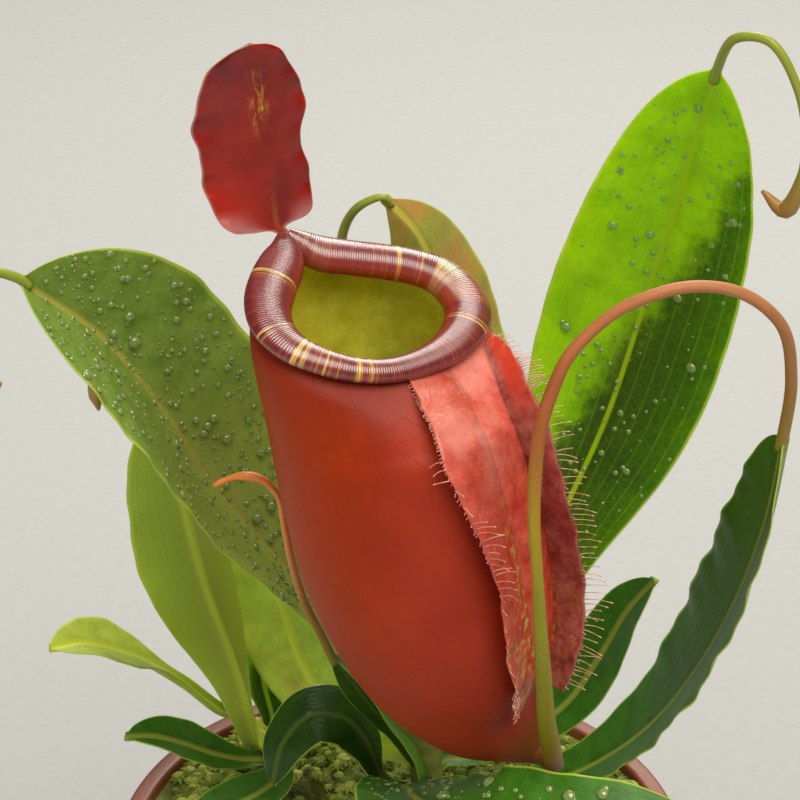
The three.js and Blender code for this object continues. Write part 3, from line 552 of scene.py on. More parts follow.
# %% Leaf finishes
def leaf_tissue(name, dark, light, rib, below, flush, flushed=0.0, shade=0.0, shine=0.36, rib_half=1.7,
                glow=0.12, painted_base_light=None):
    """Waxed leaf tissue. rib, below and flush are the colours of the midrib, underside and old patches.

    flushed is how much of the leaf has turned, shade how dark the painted shade on its lower part is, glow
    how much light comes through and painted_base_light the colour of the painted light that it takes towards
    its base.
    """

    def paint(tree):
        place = add_node(tree, "TexCoord").outputs["Object"]
        grain = add_node(tree, "SeparateXYZ", {0: add_node(tree, "UVMap", uv_map="grain")})
        x, y = grain.outputs["X"], grain.outputs["Y"]
        across, tipward, underside = (
            add_node(tree, "Attribute", attribute_name=mark).outputs["Fac"]
            for mark in ("across", "tipward", "below")
        )
        outward = add_node(tree, "Math", {0: across}, operation="ABSOLUTE")
        patch = add_node(tree, "TexNoise", {"Vector": place, "Scale": 160, "Detail": 8, "Roughness": 0.72})
        colour = add_node(tree, "ValToRGB", {"Fac": patch}, [(0.3, dark), (0.7, light)])
        layers = []
        if flushed:
            old = add_node(tree, "TexNoise", {"Vector": place, "Scale": 42, "Detail": 5, "Roughness": 0.65})
            old = add_node(tree, "MapRange", {0: old, 1: 0.62 - 0.25 * flushed, 2: 0.75}, **S_CURVE)
            layers.append((old, flush))
        # Painted light: the leaf turns lighter and yellower towards its base.
        if painted_base_light:
            low = add_node(tree, "MapRange", {0: tipward, 1: 0.82, 2: 0.45, 3: 0, 4: 0.85}, **S_CURVE)
            layers.append((low, painted_base_light))
        if shade:
            dim = add_node(tree, "TexNoise", {"Vector": place, "Scale": 130, "Detail": 6, "Roughness": 0.7})
            reach = add_node(tree, "Math", {0: across, 1: 0.35, 2: tipward}, operation="MULTIPLY_ADD")
            dim = add_node(tree, "Math", {0: dim, 1: 0.3, 2: reach}, operation="MULTIPLY_ADD")
            dim = add_node(tree, "MapRange", {0: dim, 1: 0.84, 2: 0.66, 3: 0, 4: shade}, **S_CURVE)
            layers.append((dim, "#1f3606"))
        # The net: cells 2 mm wide, stretched along the leaf.
        wide = add_node(tree, "Math", {0: x, 1: 0.5}, operation="MULTIPLY")
        far = add_node(tree, "Math", {0: y, 1: 0.34}, operation="MULTIPLY")
        cell = add_node(tree, "CombineXYZ", {0: wide, 1: far})
        net = add_node(tree, "TexVoronoi", {"Vector": cell, "Scale": 1}, feature="DISTANCE_TO_EDGE")
        net = add_node(tree, "MapRange", {0: net, 1: 0.02, 2: 0.14, 3: 1, 4: 0}, **S_CURVE)
        # The straight veins: six on each half, closing in towards the tip as the leaf narrows.
        apart = add_node(tree, "Math", {0: outward, 1: 6}, operation="MULTIPLY")
        apart = add_node(tree, "Math", {0: apart, 1: 0.5}, operation="PINGPONG")
        veins = add_node(tree, "MapRange", {0: apart, 1: 0.02, 2: 0.09, 3: 1, 4: 0}, **S_CURVE)
        veins = add_node(tree, "Math", {0: veins, 1: 0.45}, operation="MULTIPLY")
        veins = add_node(tree, "Math", {0: net, 1: 0.16, 2: veins}, operation="MULTIPLY_ADD")
        veined = add_node(tree, "Math", {0: veins, 1: 0.3}, operation="MULTIPLY")
        # The midrib is a band 2 to 3 mm wide, and the margin a thin line that lets more light through.
        middle = add_node(tree, "Math", {0: x}, operation="ABSOLUTE")
        ends = {1: 0.35 * rib_half, 2: rib_half, 3: 1, 4: 0}
        middle = add_node(tree, "MapRange", {0: middle, **ends}, **S_CURVE)
        margin = add_node(tree, "MapRange", {0: outward, 1: 0.955, 2: 0.985, 3: 0, 4: 0.75}, **S_CURVE)
        layers += [(veined, light), (underside, below), (middle, rib), (margin, "#b4cc4c")]
        for share, hue in layers:
            colour = add_node(tree, "Mix", {0: share, 6: colour, 7: hue}, data_type="RGBA")
        pores = add_node(tree, "TexNoise", {"Vector": place, "Scale": 1400, "Detail": 2})
        height = add_node(tree, "Math", {0: pores, 1: 0.25, 2: veins}, operation="MULTIPLY_ADD")
        bump = add_node(tree, "Bump", {"Strength": 0.3, "Distance": 0.0004, "Height": height})
        rough = add_node(tree, "MapRange", {0: patch, 1: 0.3, 2: 0.7, 3: shine, 4: shine + 0.12})
        return {"Base Color": colour, "Roughness": rough, "Normal": bump}

    return material_of(
        name, paint, IOR=1.45, Specular_IOR_Level=0.35, Subsurface_Weight=glow,
        Subsurface_Radius=(0.6, 1.0, 0.2), Subsurface_Scale=0.003
    )


# The sunlit finish's bright colours are painted light, with painted shade on its lower part, and the shaded
# finish's dark colours are painted shade.
LEAF_FINISHES = {
    "broad": leaf_tissue(
        "Leaf_Tissue_Broad", "#628228", "#90aa4c", "#a8a848", "#90a352", "#8a7a2a", rib_half=1.1,
        painted_base_light="#aab652",
    ),
    "deep": leaf_tissue(
        "Leaf_Tissue_Deep", "#26540a", "#467a1e", "#8b9638", "#76963c", "#8a7a2a", rib_half=1.2,
    ),
    "dark": leaf_tissue(
        "Leaf_Tissue_Shaded", "#1a3208", "#31500e", "#465c1c", "#5c8a24", "#5a5a24", shine=0.3, rib_half=1,
    ),
    "pale": leaf_tissue(
        "Leaf_Tissue_Pale", "#8ea030", "#bccc4c", "#bcc83c", "#a4b040", "#a08a3a", flushed=0.3, glow=0.3,
    ),
    "backlit": leaf_tissue(
        "Leaf_Tissue_Sunlit", "#8cb202", "#acd802", "#a8c80c", "#6f9a1c", "#86a80a", flushed=0.3, shade=0.9,
        rib_half=0.9, glow=0.6,
    ),
    "flushed": leaf_tissue(
        "Leaf_Tissue_Flushed", "#8c9a30", "#b4bc4c", "#d6cf50", "#a9a548", "#c98450", flushed=1, rib_half=1.1,
    ),
}

# %% Grow the leaves
for node, leaf in LEAVES.items():
    name = node.removeprefix("leaf_") + "_leaf"
    mesh = leaf_skin(name, leaf)
    show(name, mesh, [LEAF_FINISHES[leaf["finish"]]], [node])
print(len(LEAVES), "leaves")

# %% [markdown]
# ## Tendrils and stems
#
# Each leaf's midrib runs on from the tip as a wiry tendril. The one that carries the big pitcher
# hangs in a long curve, orange-brown where the sun reaches it and olive near the pitcher. Blender's
# curve objects with a bevel would do. A tube over rings is as short to write and takes its own map
# along, so that colours can change along the length.


# %% Tubes
def tube_rings(line, radius, sides):
    """Rings square to a line of points. The rings' first axis lies in the line's own plane."""
    flat = line - line.mean(axis=0)
    reference = np.linalg.svd(flat, full_matrices=False)[2][-1]
    _, side, up = frames_along(line, reference)
    angle = np.linspace(0, 2 * np.pi, sides, endpoint=False)
    reach = np.broadcast_to(np.asarray(radius, float).reshape(len(line), -1), (len(line), sides))[..., None]
    ways = side[:, None] * np.cos(angle)[:, None] + up[:, None] * np.sin(angle)[:, None]
    return line[:, None] + reach * ways


def tube_skin(name, points, radii, count, sides, swell=None):
    """A tube through the points, with radii as rows of [share of the length, radius]."""
    s = np.linspace(0, 1, count)
    line, length = along(points, s)
    radius = read(radii, s)[:, None] * np.ones(sides)
    if swell is not None:
        radius = radius * swell(s[:, None], np.linspace(0, 2 * np.pi, sides, endpoint=False)[None])
    rings = tube_rings(line, radius, sides)
    turn = np.linspace(0, 2 * np.pi, sides + 1)[None] * radius.mean()
    grain = np.stack(np.broadcast_arrays(turn, (s * length)[:, None]), axis=2)
    return skin(name, rings, grain, {"share": s[:, None]})


def wiry_tissue(name, stops, speckle, shine=0.34):
    """Smooth waxed tissue of a tendril or stem, with its colours along the length and fine dark speckles."""

    def paint(tree):
        share = add_node(tree, "Attribute", attribute_name="share").outputs["Fac"]
        place = add_node(tree, "TexCoord").outputs["Object"]
        drift = add_node(tree, "TexNoise", {"Vector": place, "Scale": 90, "Detail": 3})
        shifted = add_node(tree, "Math", {0: drift, 1: 0.08, 2: share}, operation="MULTIPLY_ADD")
        colour = add_node(tree, "ValToRGB", {"Fac": shifted}, stops)
        grain = add_node(tree, "UVMap", uv_map="grain")
        grain = add_node(tree, "Mapping", {"Vector": grain, "Scale": (1.6, 0.12, 1)})
        streak = add_node(tree, "TexNoise", {"Vector": grain, "Scale": 1, "Detail": 4, "Roughness": 0.6})
        amount = add_node(tree, "MapRange", {0: streak, 1: 0.5, 2: 0.75, 3: 0, 4: 0.45}, **S_CURVE)
        colour = add_node(tree, "Mix", {0: amount, 6: colour, 7: speckle}, data_type="RGBA")
        bump = add_node(tree, "Bump", {"Strength": 0.25, "Distance": 0.0003, "Height": streak})
        return {"Base Color": colour, "Normal": bump}

    return material_of(
        name, paint, Roughness=shine, IOR=1.45, Subsurface_Weight=0.1, Subsurface_Radius=(1.0, 0.5, 0.2),
        Subsurface_Scale=0.001
    )


GREEN_TENDRIL = wiry_tissue(
    "Tendril_Tissue_Green", [(0, "#8fa034"), (0.6, "#9aa23a"), (1, "#a97a3a")], "#6c7a22"
)
ORANGE_BUD = wiry_tissue(
    "Tendril_Tissue_Orange", [(0, "#8a8a34"), (0.35, "#b47a3a"), (0.6, "#d98a44"), (1, "#e2863e")], "#b0602c"
)
SUNNED_STOPS = [
    (0, "#8a8f30"), (0.12, "#a87a38"), (0.3, "#bd7c50"), (0.56, "#a85c28"), (0.68, "#a48c18"),
    (0.76, "#94901a"), (0.92, "#80780a"), (0.97, "#806408"), (1, "#6a3c12"),
]
MAIN_TENDRIL_TISSUE = wiry_tissue("Tendril_Tissue_Sunned", SUNNED_STOPS, "#86442a", shine=0.5)

# %% The tendrils' ways
TENDRILS = {
    "tendril_left": {
        "leaf": "leaf_left", "radii": [[0, 1.2], [0.75, 0.9], [0.9, 2.2], [1, 0.5]],
        "path": [[-93, -34, 281], [-101, -38, 277], [-104, -37, 264], [-101, -33, 251], [-95, -30, 246],
                 [-90, -29, 251]],
    },
    "tendril_back": {
        "leaf": "leaf_back", "radii": [[0, 0.7], [0.15, 1.0], [0.5, 1.3], [1, 1.3]],
        "path": [[-8.5, -12.5, 287.5], [-12.5, -8, 280], [-14, -3, 265], [-14, 2, 246], [-12, 6, 232]],
    },
    "tendril_right": {
        "leaf": "leaf_right", "radii": [[0, 1.2], [0.75, 0.9], [0.9, 2.2], [1, 0.5]],
        "path": [[74, -7, 325], [81, -12, 326], [88, -14, 314], [90, -12, 296], [87, -8, 284], [82, -6, 288]],
    },
    "tendril_front": {
        "leaf": "leaf_front", "radii": [[0, 1.2], [0.65, 1], [0.85, 2.4], [1, 0.5]],
        "path": [[82, -84, 154], [89, -81, 142], [93, -77, 126], [97, -74, 113], [101, -71, 110],
                 [104, -70, 118]],
    },
    "tendril_lower_left": {
        "leaf": "leaf_lower_left", "radii": [[0, 1.1], [0.8, 0.9], [0.92, 1.8], [1, 0.4]],
        "path": [[-57, 8, 238], [-62, 9, 245], [-70, 10, 244], [-74, 11, 234], [-73, 12, 222]],
    },
    "tendril_aborted": {
        "leaf": "leaf_aborted",
        "radii": [[0, 1.2], [0.5, 0.95], [0.8, 0.8], [0.9, 1.15], [0.945, 0.65], [0.98, 0.8], [1, 0.4]],
        "path": [[-19, -24, 181], [-22.5, -29, 193], [-25, -33, 206], [-26.5, -37, 219], [-27.5, -39, 227],
                 [-31, -40, 232], [-36, -40, 233], [-39, -40, 232], [-42, -41, 231]],
    },
    "tendril_main": {
        "leaf": "leaf_carrier",
        "radii": [[0, 1.4], [0.25, 1.3], [0.4, 1.3], [0.5, 1.5], [0.57, 1.5], [0.68, 1.25], [0.8, 1.75],
                                             [0.9, 2.2], [0.97, 2.35], [1, 2.4]],
        "path": [[84, -57, 266], [80, -64, 283], [70, -69, 293], [58, -73, 296], [46, -75, 292.5],
                 [39.9, -76, 288], [34.6, -78, 282.5], [31.4, -79, 275], [29.1, -80, 266.5], [28.2, -81, 255],
                 [28.2, -82, 245.5], [29.3, -82, 231.5], [30.1, -80, 220], [31.1, -78, 207.5],
                 [32.4, -74, 190.5], [33.8, -70.5, 180.5], [34.6, -67.2, 174.6], [34.9, -64.4, 172],
                 [33.6, -62, 171.4], [31.2, -59.8, 172]],
    },
}

for node, tendril in TENDRILS.items():
    ribs = midrib_points(LEAVES[tendril["leaf"]])
    tip = along(ribs, np.array([0.985, 1.0]))[0]
    points = np.array([tip[0] - [0, 0, 0.4], tip[1] + (tip[1] - tip[0]) * 0.4, *tendril["path"]])
    name = node.removeprefix("tendril_") + "_tendril"
    finish = {"tendril_main": MAIN_TENDRIL_TISSUE, "tendril_aborted": ORANGE_BUD}.get(node, GREEN_TENDRIL)
    slot = "tendril_orange" if node in ("tendril_main", "tendril_aborted") else "tendril_green"
    count = int(along(points, np.array([1.0]))[1] / 1.2)
    show(name, tube_skin(name, points, tendril["radii"], count, 20), [finish], [node])
print(len(TENDRILS), "tendrils")

# %% [markdown]
# ## The pitcher's shape
#
# The pitcher is a leaf tip grown into a cup. It starts at the tendril as a narrow foot, swells into a
# belly and ends in a slanted, egg-shaped mouth with a pointed neck at the back. The same few numbers
# as in the solid model set it: the middle line of the lip in the mouth's own plane, and round
# sections up the spine. All other pieces of the pitcher are then placed by two numbers on its skin:
# the row, counted from the foot, and the turn in degrees from the front towards the far side.

# %% Mouth and spine
MOUTH_CENTRE = np.array([-6.5, -45, 276.6])
MOUTH_AZIMUTH, MOUTH_TILT = -42, 22
azimuth, tilt = np.radians(MOUTH_AZIMUTH), np.radians(MOUTH_TILT)
level = np.array([np.cos(azimuth), np.sin(azimuth), 0])
FRONT = level * np.cos(tilt) - [0, 0, np.sin(tilt)]
LIFT = level * np.sin(tilt) + [0, 0, np.cos(tilt)]
SIDE = np.cross(LIFT, FRONT)

# Rows of front, side, lift and half the lip's width.
LIP_LINE = np.array([
    [-27.2, -0.7, 0.9, 1.5], [-23, -4.1, 0.4, 4.2], [-18.2, -12.2, 0, 5], [-13.2, -18.7, 0, 5],
    [-7.6, -22.4, 0, 4.9], [-1.3, -23, 0, 4.3], [4.9, -20.3, 0, 3.6], [10.6, -15.6, 0, 3.1],
    [14.8, -8.8, 0, 3], [16.6, 0, 0, 3.3], [16.3, 9.3, 0, 4], [14, 16.9, 0, 4.5], [9.8, 22.8, 0, 4.8],
    [4, 25.3, 0, 4.7], [-1.9, 24.9, 0, 4.4], [-6.8, 21.5, 0, 4], [-11.4, 16.4, 0, 3.9],
    [-16.2, 10.4, -0.2, 3.9], [-21.5, 4.7, -0.4, 3.9], [-27.2, 0.7, 0.9, 1.5],
])
# Rows of x, y, z and radius, from the foot up to the shoulder.
CUP_SPINE = np.array([
    [32.3, -60, 171, 2.6], [27.7, -57.5, 173.7, 6.8], [22.9, -55, 176.8, 12], [18.3, -53, 182.7, 17.4],
    [14.1, -51.5, 191.8, 22.6], [10.2, -50, 203.2, 26], [5.8, -49, 218.5, 28.2], [2.4, -48, 234.7, 28.7],
    [-0.9, -47, 249.5, 28],
])
FOOT_AXIS = unit(np.array([0.85, -0.45, -0.28]))
RIM_DROP, RIM_GROW = 2.7, 1.0
SHOULDER = [[0.25, 0.9], [0.5, 2.0], [0.72, 2.8], [0.88, 2.7]]
NECK_REACH = 27.6


def in_mouth(front, side, lift):
    """A point in the mouth's frame."""
    return MOUTH_CENTRE + front[..., None] * FRONT + side[..., None] * SIDE + lift[..., None] * LIFT


def rim_reach(turn):
    """Distance of the lip's middle line from the mouth's middle, by the turn in radians."""
    line = along(LIP_LINE, np.linspace(0, 1, 400))[0]
    angle = np.concatenate([[-np.pi], np.arctan2(line[:, 1], line[:, 0]), [np.pi]])
    reach = np.concatenate([[NECK_REACH], np.hypot(line[:, 0], line[:, 1]), [NECK_REACH]])
    return np.interp((turn + np.pi) % (2 * np.pi) - np.pi, angle, reach)


def cup_rows(turn):
    """The cup's given rings at these turns: round ones up the spine, then a blend into the rim."""
    spine = CUP_SPINE[:, :3]
    way = unit(np.gradient(spine, axis=0))
    way[0] = -FOOT_AXIS
    side = unit(np.cross(way, FRONT))
    front = np.cross(side, way)
    radius = CUP_SPINE[:, 3, None, None]
    ways = front[:, None] * np.cos(turn)[:, None] + side[:, None] * np.sin(turn)[:, None]
    low = spine[:, None] + radius * ways
    reach = rim_reach(turn) + RIM_GROW
    rim = in_mouth(reach * np.cos(turn), reach * np.sin(turn), np.full_like(turn, -RIM_DROP))
    share, swelling = np.array(SHOULDER).T[:, :, None, None]
    blend = low[-1] * (1 - share) + rim * share
    centre = spine[-1] * (1 - share) + MOUTH_CENTRE * share
    return np.concatenate([low, blend + unit(blend - centre) * swelling, rim[None]])


# %% A fine lattice over the cup's skin
TURNS, ROW_STEPS = 720, 40
RIM_ROW = 13
all_round = np.linspace(0, 2 * np.pi, TURNS, endpoint=False)
lattice = through(cup_rows(all_round), np.arange(0, RIM_ROW + 0.5 / ROW_STEPS, 1 / ROW_STEPS))
print("cup lattice", lattice.shape)


def cup_point(row, turn):
    """The cup's outer skin at rows and turns in degrees, read between the lattice's points."""
    turn = (np.asarray(turn, float) / 360 % 1) * TURNS
    row, turn = np.broadcast_arrays(np.clip(row, 0, RIM_ROW) * ROW_STEPS, turn)
    i = np.minimum(row.astype(int), len(lattice) - 2)
    j = turn.astype(int)
    v, u = (row - i)[..., None], (turn - j)[..., None]
    j, after = j % TURNS, (j + 1) % TURNS
    return (1 - v) * ((1 - u) * lattice[i, j] + u * lattice[i, after]) + v * (
        (1 - u) * lattice[i + 1, j] + u * lattice[i + 1, after])


def on_cup(row, turn, off, around=3, upward=0.2):
    """A point standing off the cup's skin, along the outward direction averaged over its surroundings."""
    across = cup_point(row, np.add(turn, around)) - cup_point(row, np.subtract(turn, around))
    rise = cup_point(np.add(row, upward), turn) - cup_point(np.subtract(row, upward), turn)
    return cup_point(row, turn) + unit(np.cross(across, rise)) * np.asarray(off)[..., None]


# %% [markdown]
# ## The cup
#
# The cup's wall is a little over a millimetre thick: waxy and brick red outside, olive and slightly
# translucent inside. One closed skin goes up the outside, over the rim and down the inside, so the
# wall has its true thickness and light falls into a real hollow. Two materials share the skin. The
# strip between the two wings is paler, as on the plant.

# %% Wing roots and edges on the cup: cup row, root's turn, free edge's turn, free edge's distance off the cup
NEAR_WING = np.array([
    [12.8, 13, -17, 0.7], [11.2, 6.5, -20.5, 2.3], [10, 2, -22, 3.6], [9, -1.5, -23.5, 4.8],
    [8, -4, -24.5, 5.5], [7, -4, -19.5, 5.6], [6, -2, -15, 5.8], [5, -1, -17, 5.4], [4, 3, -14, 4.4],
    [3, 9, -8, 3],
])
FAR_WING = np.array([
    [12, 46.5, 56, 1.8], [11, 40.5, 50, 4], [10, 35, 41, 5.6], [9, 29.5, 31, 6.8], [8, 24, 24, 7.6],
    [7, 28, 21, 8.6], [6, 34, 27, 8.2], [5, 36, 28, 8], [4, 33, 23, 7.6], [3, 29, 24, 6.4],
])

# %% The cup's skin
CUP_WALL = 1.3
CUP_COLUMNS = 168
rise = np.concatenate([np.linspace(0, 2, 30)[:-1], np.linspace(2, 9, 90)[:-1], np.linspace(9, RIM_ROW, 50)])
fall = np.concatenate([np.linspace(RIM_ROW, 9, 30)[:-1], np.linspace(9, 1.7, 60)])
turns = np.arange(CUP_COLUMNS) * 360 / CUP_COLUMNS
outside = cup_point(rise[:, None], turns)
COLLAR_HEIGHT = 1.8
collar = outside[-1:] + LIFT * COLLAR_HEIGHT
inner_rim = on_cup(np.array([[float(RIM_ROW)]]), turns, np.full((1, CUP_COLUMNS), -CUP_WALL))
inner_collar = inner_rim + LIFT * COLLAR_HEIGHT
inside = on_cup(fall[:, None], turns, np.full((len(fall), CUP_COLUMNS), -CUP_WALL))
rings = np.concatenate([outside, collar, inner_collar, inside])
cup_row = np.concatenate([rise, [RIM_ROW, RIM_ROW], fall])
ring_way = np.concatenate([[0], np.cumsum(np.linalg.norm(np.diff(rings.mean(axis=1), axis=0), axis=1))])
GRAIN_RADIUS = 26
girth = 2 * np.pi * GRAIN_RADIUS
grain = np.stack(np.broadcast_arrays(np.linspace(0, girth, CUP_COLUMNS + 1)[None], ring_way[:, None]), axis=2)
signed = (turns + 180) % 360 - 180
near_root = np.interp(cup_row, NEAR_WING[::-1, 0], NEAR_WING[::-1, 1])[:, None]
far_root = np.interp(cup_row, FAR_WING[::-1, 0], FAR_WING[::-1, 1])[:, None]
past_near = smoothstep(signed[None], near_root - 3, near_root + 2)
past_far = smoothstep(signed[None], far_root - 4, far_root + 6)
strip = past_near * (1 - past_far) * smoothstep(cup_row, 2.5, 4)[:, None]
marks = {
    "strip": strip,
    "height": (cup_row / RIM_ROW)[:, None],
    # painted_glow_side: the side of the cup that gets a painted orange glow, as of light shining through the
    # wall.
    "painted_glow_side": smoothstep(np.cos(np.radians(turns + 130))[None], -0.2, 1) * np.ones((len(rings), 1)),
}
parts = np.where(np.arange(len(rings) - 1) < len(rise), 0, 1)
cup_mesh = skin("cup", rings, grain, marks, parts)


# %% Cup tissue, outside and inside
# The colour of the painted highlight patches near the lip, on the strip and the near wing.
PAINTED_HIGHLIGHT = "#e28c7c"


def painted_highlight_patches(tree, place):
    """How much painted highlight lies on and between the wings: the more, the closer it is to the lip."""
    height = add_node(tree, "SeparateXYZ", {0: place}).outputs["Z"]
    patchy = add_node(tree, "TexNoise", {"Vector": place, "Scale": 95, "Detail": 4, "Roughness": 0.6})
    patchy = add_node(tree, "MapRange", {0: patchy, 1: 0.4, 2: 0.64, 3: 0.12, 4: 0.75}, **S_CURVE)
    return add_node(tree, "MapRange", {0: height, 1: 0.238, 2: 0.264, 3: 0, 4: patchy}, **S_CURVE)


def cup_paint(tree):
    """Brick-red waxed tissue: cloudy patches, fine dark veins and a paler pimpled strip, with a painted glow,
    painted shade, painted light and a painted sheen.
    """
    place = add_node(tree, "TexCoord").outputs["Object"]
    grain = add_node(tree, "UVMap", uv_map="grain")
    height, painted_glow_side, strip = (
        add_node(tree, "Attribute", attribute_name=mark).outputs["Fac"]
        for mark in ("height", "painted_glow_side", "strip")
    )
    cloud = add_node(tree, "TexNoise", {"Vector": place, "Scale": 55, "Detail": 5, "Roughness": 0.62})
    bricks = [(0.3, "#821c06"), (0.5, "#8e2208"), (0.7, "#9e2a0a")]
    colour = add_node(tree, "ValToRGB", {"Fac": cloud}, bricks)
    streaks = add_node(tree, "Mapping", {"Vector": grain, "Scale": (0.55, 0.035, 1)})
    streaks = add_node(tree, "TexNoise", {"Vector": streaks, "Scale": 1, "Detail": 5, "Roughness": 0.65})
    streaks = add_node(tree, "MapRange", {0: streaks, 1: 0.4, 2: 0.72, 3: 0, 4: 0.4}, **S_CURVE)
    warm = add_node(tree, "TexNoise", {"Vector": place, "Scale": 20, "Detail": 2})
    warm = add_node(tree, "MapRange", {0: warm, 1: 0.48, 2: 0.68, 3: 0, 4: 0.55}, **S_CURVE)
    # Painted light: an orange glow down one side of the cup, where light would shine through the wall.
    glow = add_node(tree, "Math", {0: painted_glow_side, 1: 0.6}, operation="MULTIPLY")
    # Painted shade: the cup darkens towards its foot.
    lower = add_node(tree, "MapRange", {0: height, 1: 0.55, 2: 0.15, 3: 0, 4: 0.45}, **S_CURVE)
    # Painted light: the cup's right side is lightened.
    x = add_node(tree, "SeparateXYZ", {0: place})
    rightward = add_node(tree, "MapRange", {0: x, 1: -0.014, 2: 0.008}, **S_CURVE)
    paler = add_node(tree, "Math", {0: rightward, 1: 0.3}, operation="MULTIPLY")
    # Painted shade under the lip on the left of the shoulder, turning to a painted pink sheen on the right.
    shoulder = add_node(tree, "MapRange", {0: height, 1: 0.7, 2: 0.98, 3: 0, 4: 0.65}, **S_CURVE)
    shoulder_shade_and_sheen = add_node(tree, "Mix", {0: rightward, 6: "#74241c", 7: "#a85c50"}, data_type="RGBA")
    foot = add_node(tree, "MapRange", {0: height, 1: 0.17, 2: 0.03, 3: 0, 4: 1}, **S_CURVE)
    fleck = add_node(tree, "TexNoise", {"Vector": place, "Scale": 210, "Detail": 4, "Roughness": 0.7})
    salmon = add_node(tree, "ValToRGB", {"Fac": fleck}, [(0.35, "#b4341e"), (0.65, "#d65c48")])
    # Painted highlight patches on the strip near the lip.
    salmon = add_node(tree, "Mix", {0: painted_highlight_patches(tree, place), 6: salmon, 7: PAINTED_HIGHLIGHT}, data_type="RGBA")
    # Veins 9 mm apart slant down the cup and waver, with a net of finer ones between them.
    waver = add_node(tree, "TexNoise", {"Vector": place, "Scale": 35, "Detail": 3})
    x, y, _ = add_node(tree, "SeparateXYZ", {0: grain}).outputs
    slant = add_node(tree, "Math", {0: y, 1: 0.55, 2: x}, operation="MULTIPLY_ADD")
    slant = add_node(tree, "Math", {0: waver, 1: 14, 2: slant}, operation="MULTIPLY_ADD")
    vein = add_node(tree, "Math", {0: slant, 1: 4.5}, operation="PINGPONG")
    vein = add_node(tree, "MapRange", {0: vein, 1: 0, 2: 0.26, 3: 1, 4: 0}, **S_CURVE)
    wide = add_node(tree, "Mapping", {"Vector": grain, "Scale": (0.2, 0.13, 1)})
    bend = add_node(tree, "TexNoise", {"Vector": wide, "Scale": 2}).outputs["Color"]
    bent = add_node(tree, "Mix", {0: 0.15, 4: wide, 5: bend}, data_type="VECTOR")
    net = add_node(tree, "TexVoronoi", {"Vector": bent, "Scale": 1}, feature="DISTANCE_TO_EDGE")
    net = add_node(tree, "MapRange", {0: net, 1: 0, 2: 0.04, 3: 0.35, 4: 0}, **S_CURVE)
    veins = add_node(tree, "Math", {0: vein, 1: net}, operation="MAXIMUM")
    patchy = add_node(tree, "MapRange", {0: cloud, 1: 0.4, 2: 0.62, 3: 0, 4: 0.32})
    veined = add_node(tree, "Math", {0: veins, 1: patchy}, operation="MULTIPLY")
    for share, hue in (
        (streaks, "#741806"), (warm, "#b43a0c"), (glow, "#b8440c"), (lower, "#7c1a04"), (paler, "#c04a34"),
        (shoulder, shoulder_shade_and_sheen), (foot, "#6a3c12"), (strip, salmon), (veined, "#5e1408"),
    ):
        colour = add_node(tree, "Mix", {0: share, 6: colour, 7: hue}, data_type="RGBA")
    # The relief: pores, sunken veins, soft swellings and the strip's pimples.
    relief = add_node(tree, "TexNoise", {"Vector": place, "Scale": 900, "Detail": 3})
    relief = add_node(tree, "Math", {0: relief, 1: 0.4}, operation="MULTIPLY")
    pimples = add_node(tree, "Math", {0: fleck, 1: strip}, operation="MULTIPLY")
    for part, much in ((veins, -0.25), (cloud, 1.2), (pimples, 4)):
        relief = add_node(tree, "Math", {0: part, 1: much, 2: relief}, operation="MULTIPLY_ADD")
    bump = add_node(tree, "Bump", {"Strength": 0.3, "Distance": 0.0006, "Height": relief})
    rough = add_node(tree, "MapRange", {0: strip, 3: 0.46, 4: 0.34})
    rough = add_node(tree, "Math", {0: foot, 1: 0.35, 2: rough}, operation="MULTIPLY_ADD")
    return {"Base Color": colour, "Roughness": rough, "Normal": bump}


def lining_paint(tree):
    """The olive lining, waxy above and mottled with darker glands, with painted shade deeper in the cup."""
    place = add_node(tree, "TexCoord").outputs["Object"]
    height = add_node(tree, "Attribute", attribute_name="height").outputs["Fac"]
    mottle = add_node(tree, "TexNoise", {"Vector": place, "Scale": 160, "Detail": 5, "Roughness": 0.65})
    colour = add_node(tree, "ValToRGB", {"Fac": mottle}, [(0.34, "#b4b026"), (0.66, "#d0ce4c")])
    warm = add_node(tree, "TexNoise", {"Vector": place, "Scale": 30, "Detail": 3})
    warm = add_node(tree, "MapRange", {0: warm, 1: 0.45, 2: 0.7, 3: 0, 4: 0.5})
    # Painted shade: the lining turns browner and darker deeper in the cup.
    deep = add_node(tree, "MapRange", {0: height, 1: 0.55, 2: 0.2, 3: 0, 4: 0.8})
    net = add_node(tree, "TexVoronoi", {"Vector": place, "Scale": 380}, feature="DISTANCE_TO_EDGE")
    net = add_node(tree, "MapRange", {0: net, 1: 0, 2: 0.14, 3: 0.11, 4: 0}, **S_CURVE)
    for share, hue in ((warm, "#c4a418"), (deep, "#6b3a12"), (net, "#868210")):
        colour = add_node(tree, "Mix", {0: share, 6: colour, 7: hue}, data_type="RGBA")
    glands = add_node(tree, "TexVoronoi", {"Vector": place, "Scale": 1400})
    bump = add_node(tree, "Bump", {"Strength": 0.2, "Distance": 0.0003, "Height": glands})
    return {"Base Color": colour, "Normal": bump}


CUP_TISSUE = material_of(
    "Pitcher_Tissue_Brick", cup_paint, IOR=1.45, Subsurface_Weight=0.25, Subsurface_Radius=(1.0, 0.25, 0.1),
    Subsurface_Scale=0.003, Specular_IOR_Level=0.16
)
LINING = material_of("Pitcher_Lining_Olive", lining_paint, Roughness=0.5, IOR=1.45, Subsurface_Weight=0.5,
                     Subsurface_Radius=(1.0, 0.9, 0.15), Subsurface_Scale=0.006)
show("cup", cup_mesh, [CUP_TISSUE, LINING], ["pitcher_cup"])

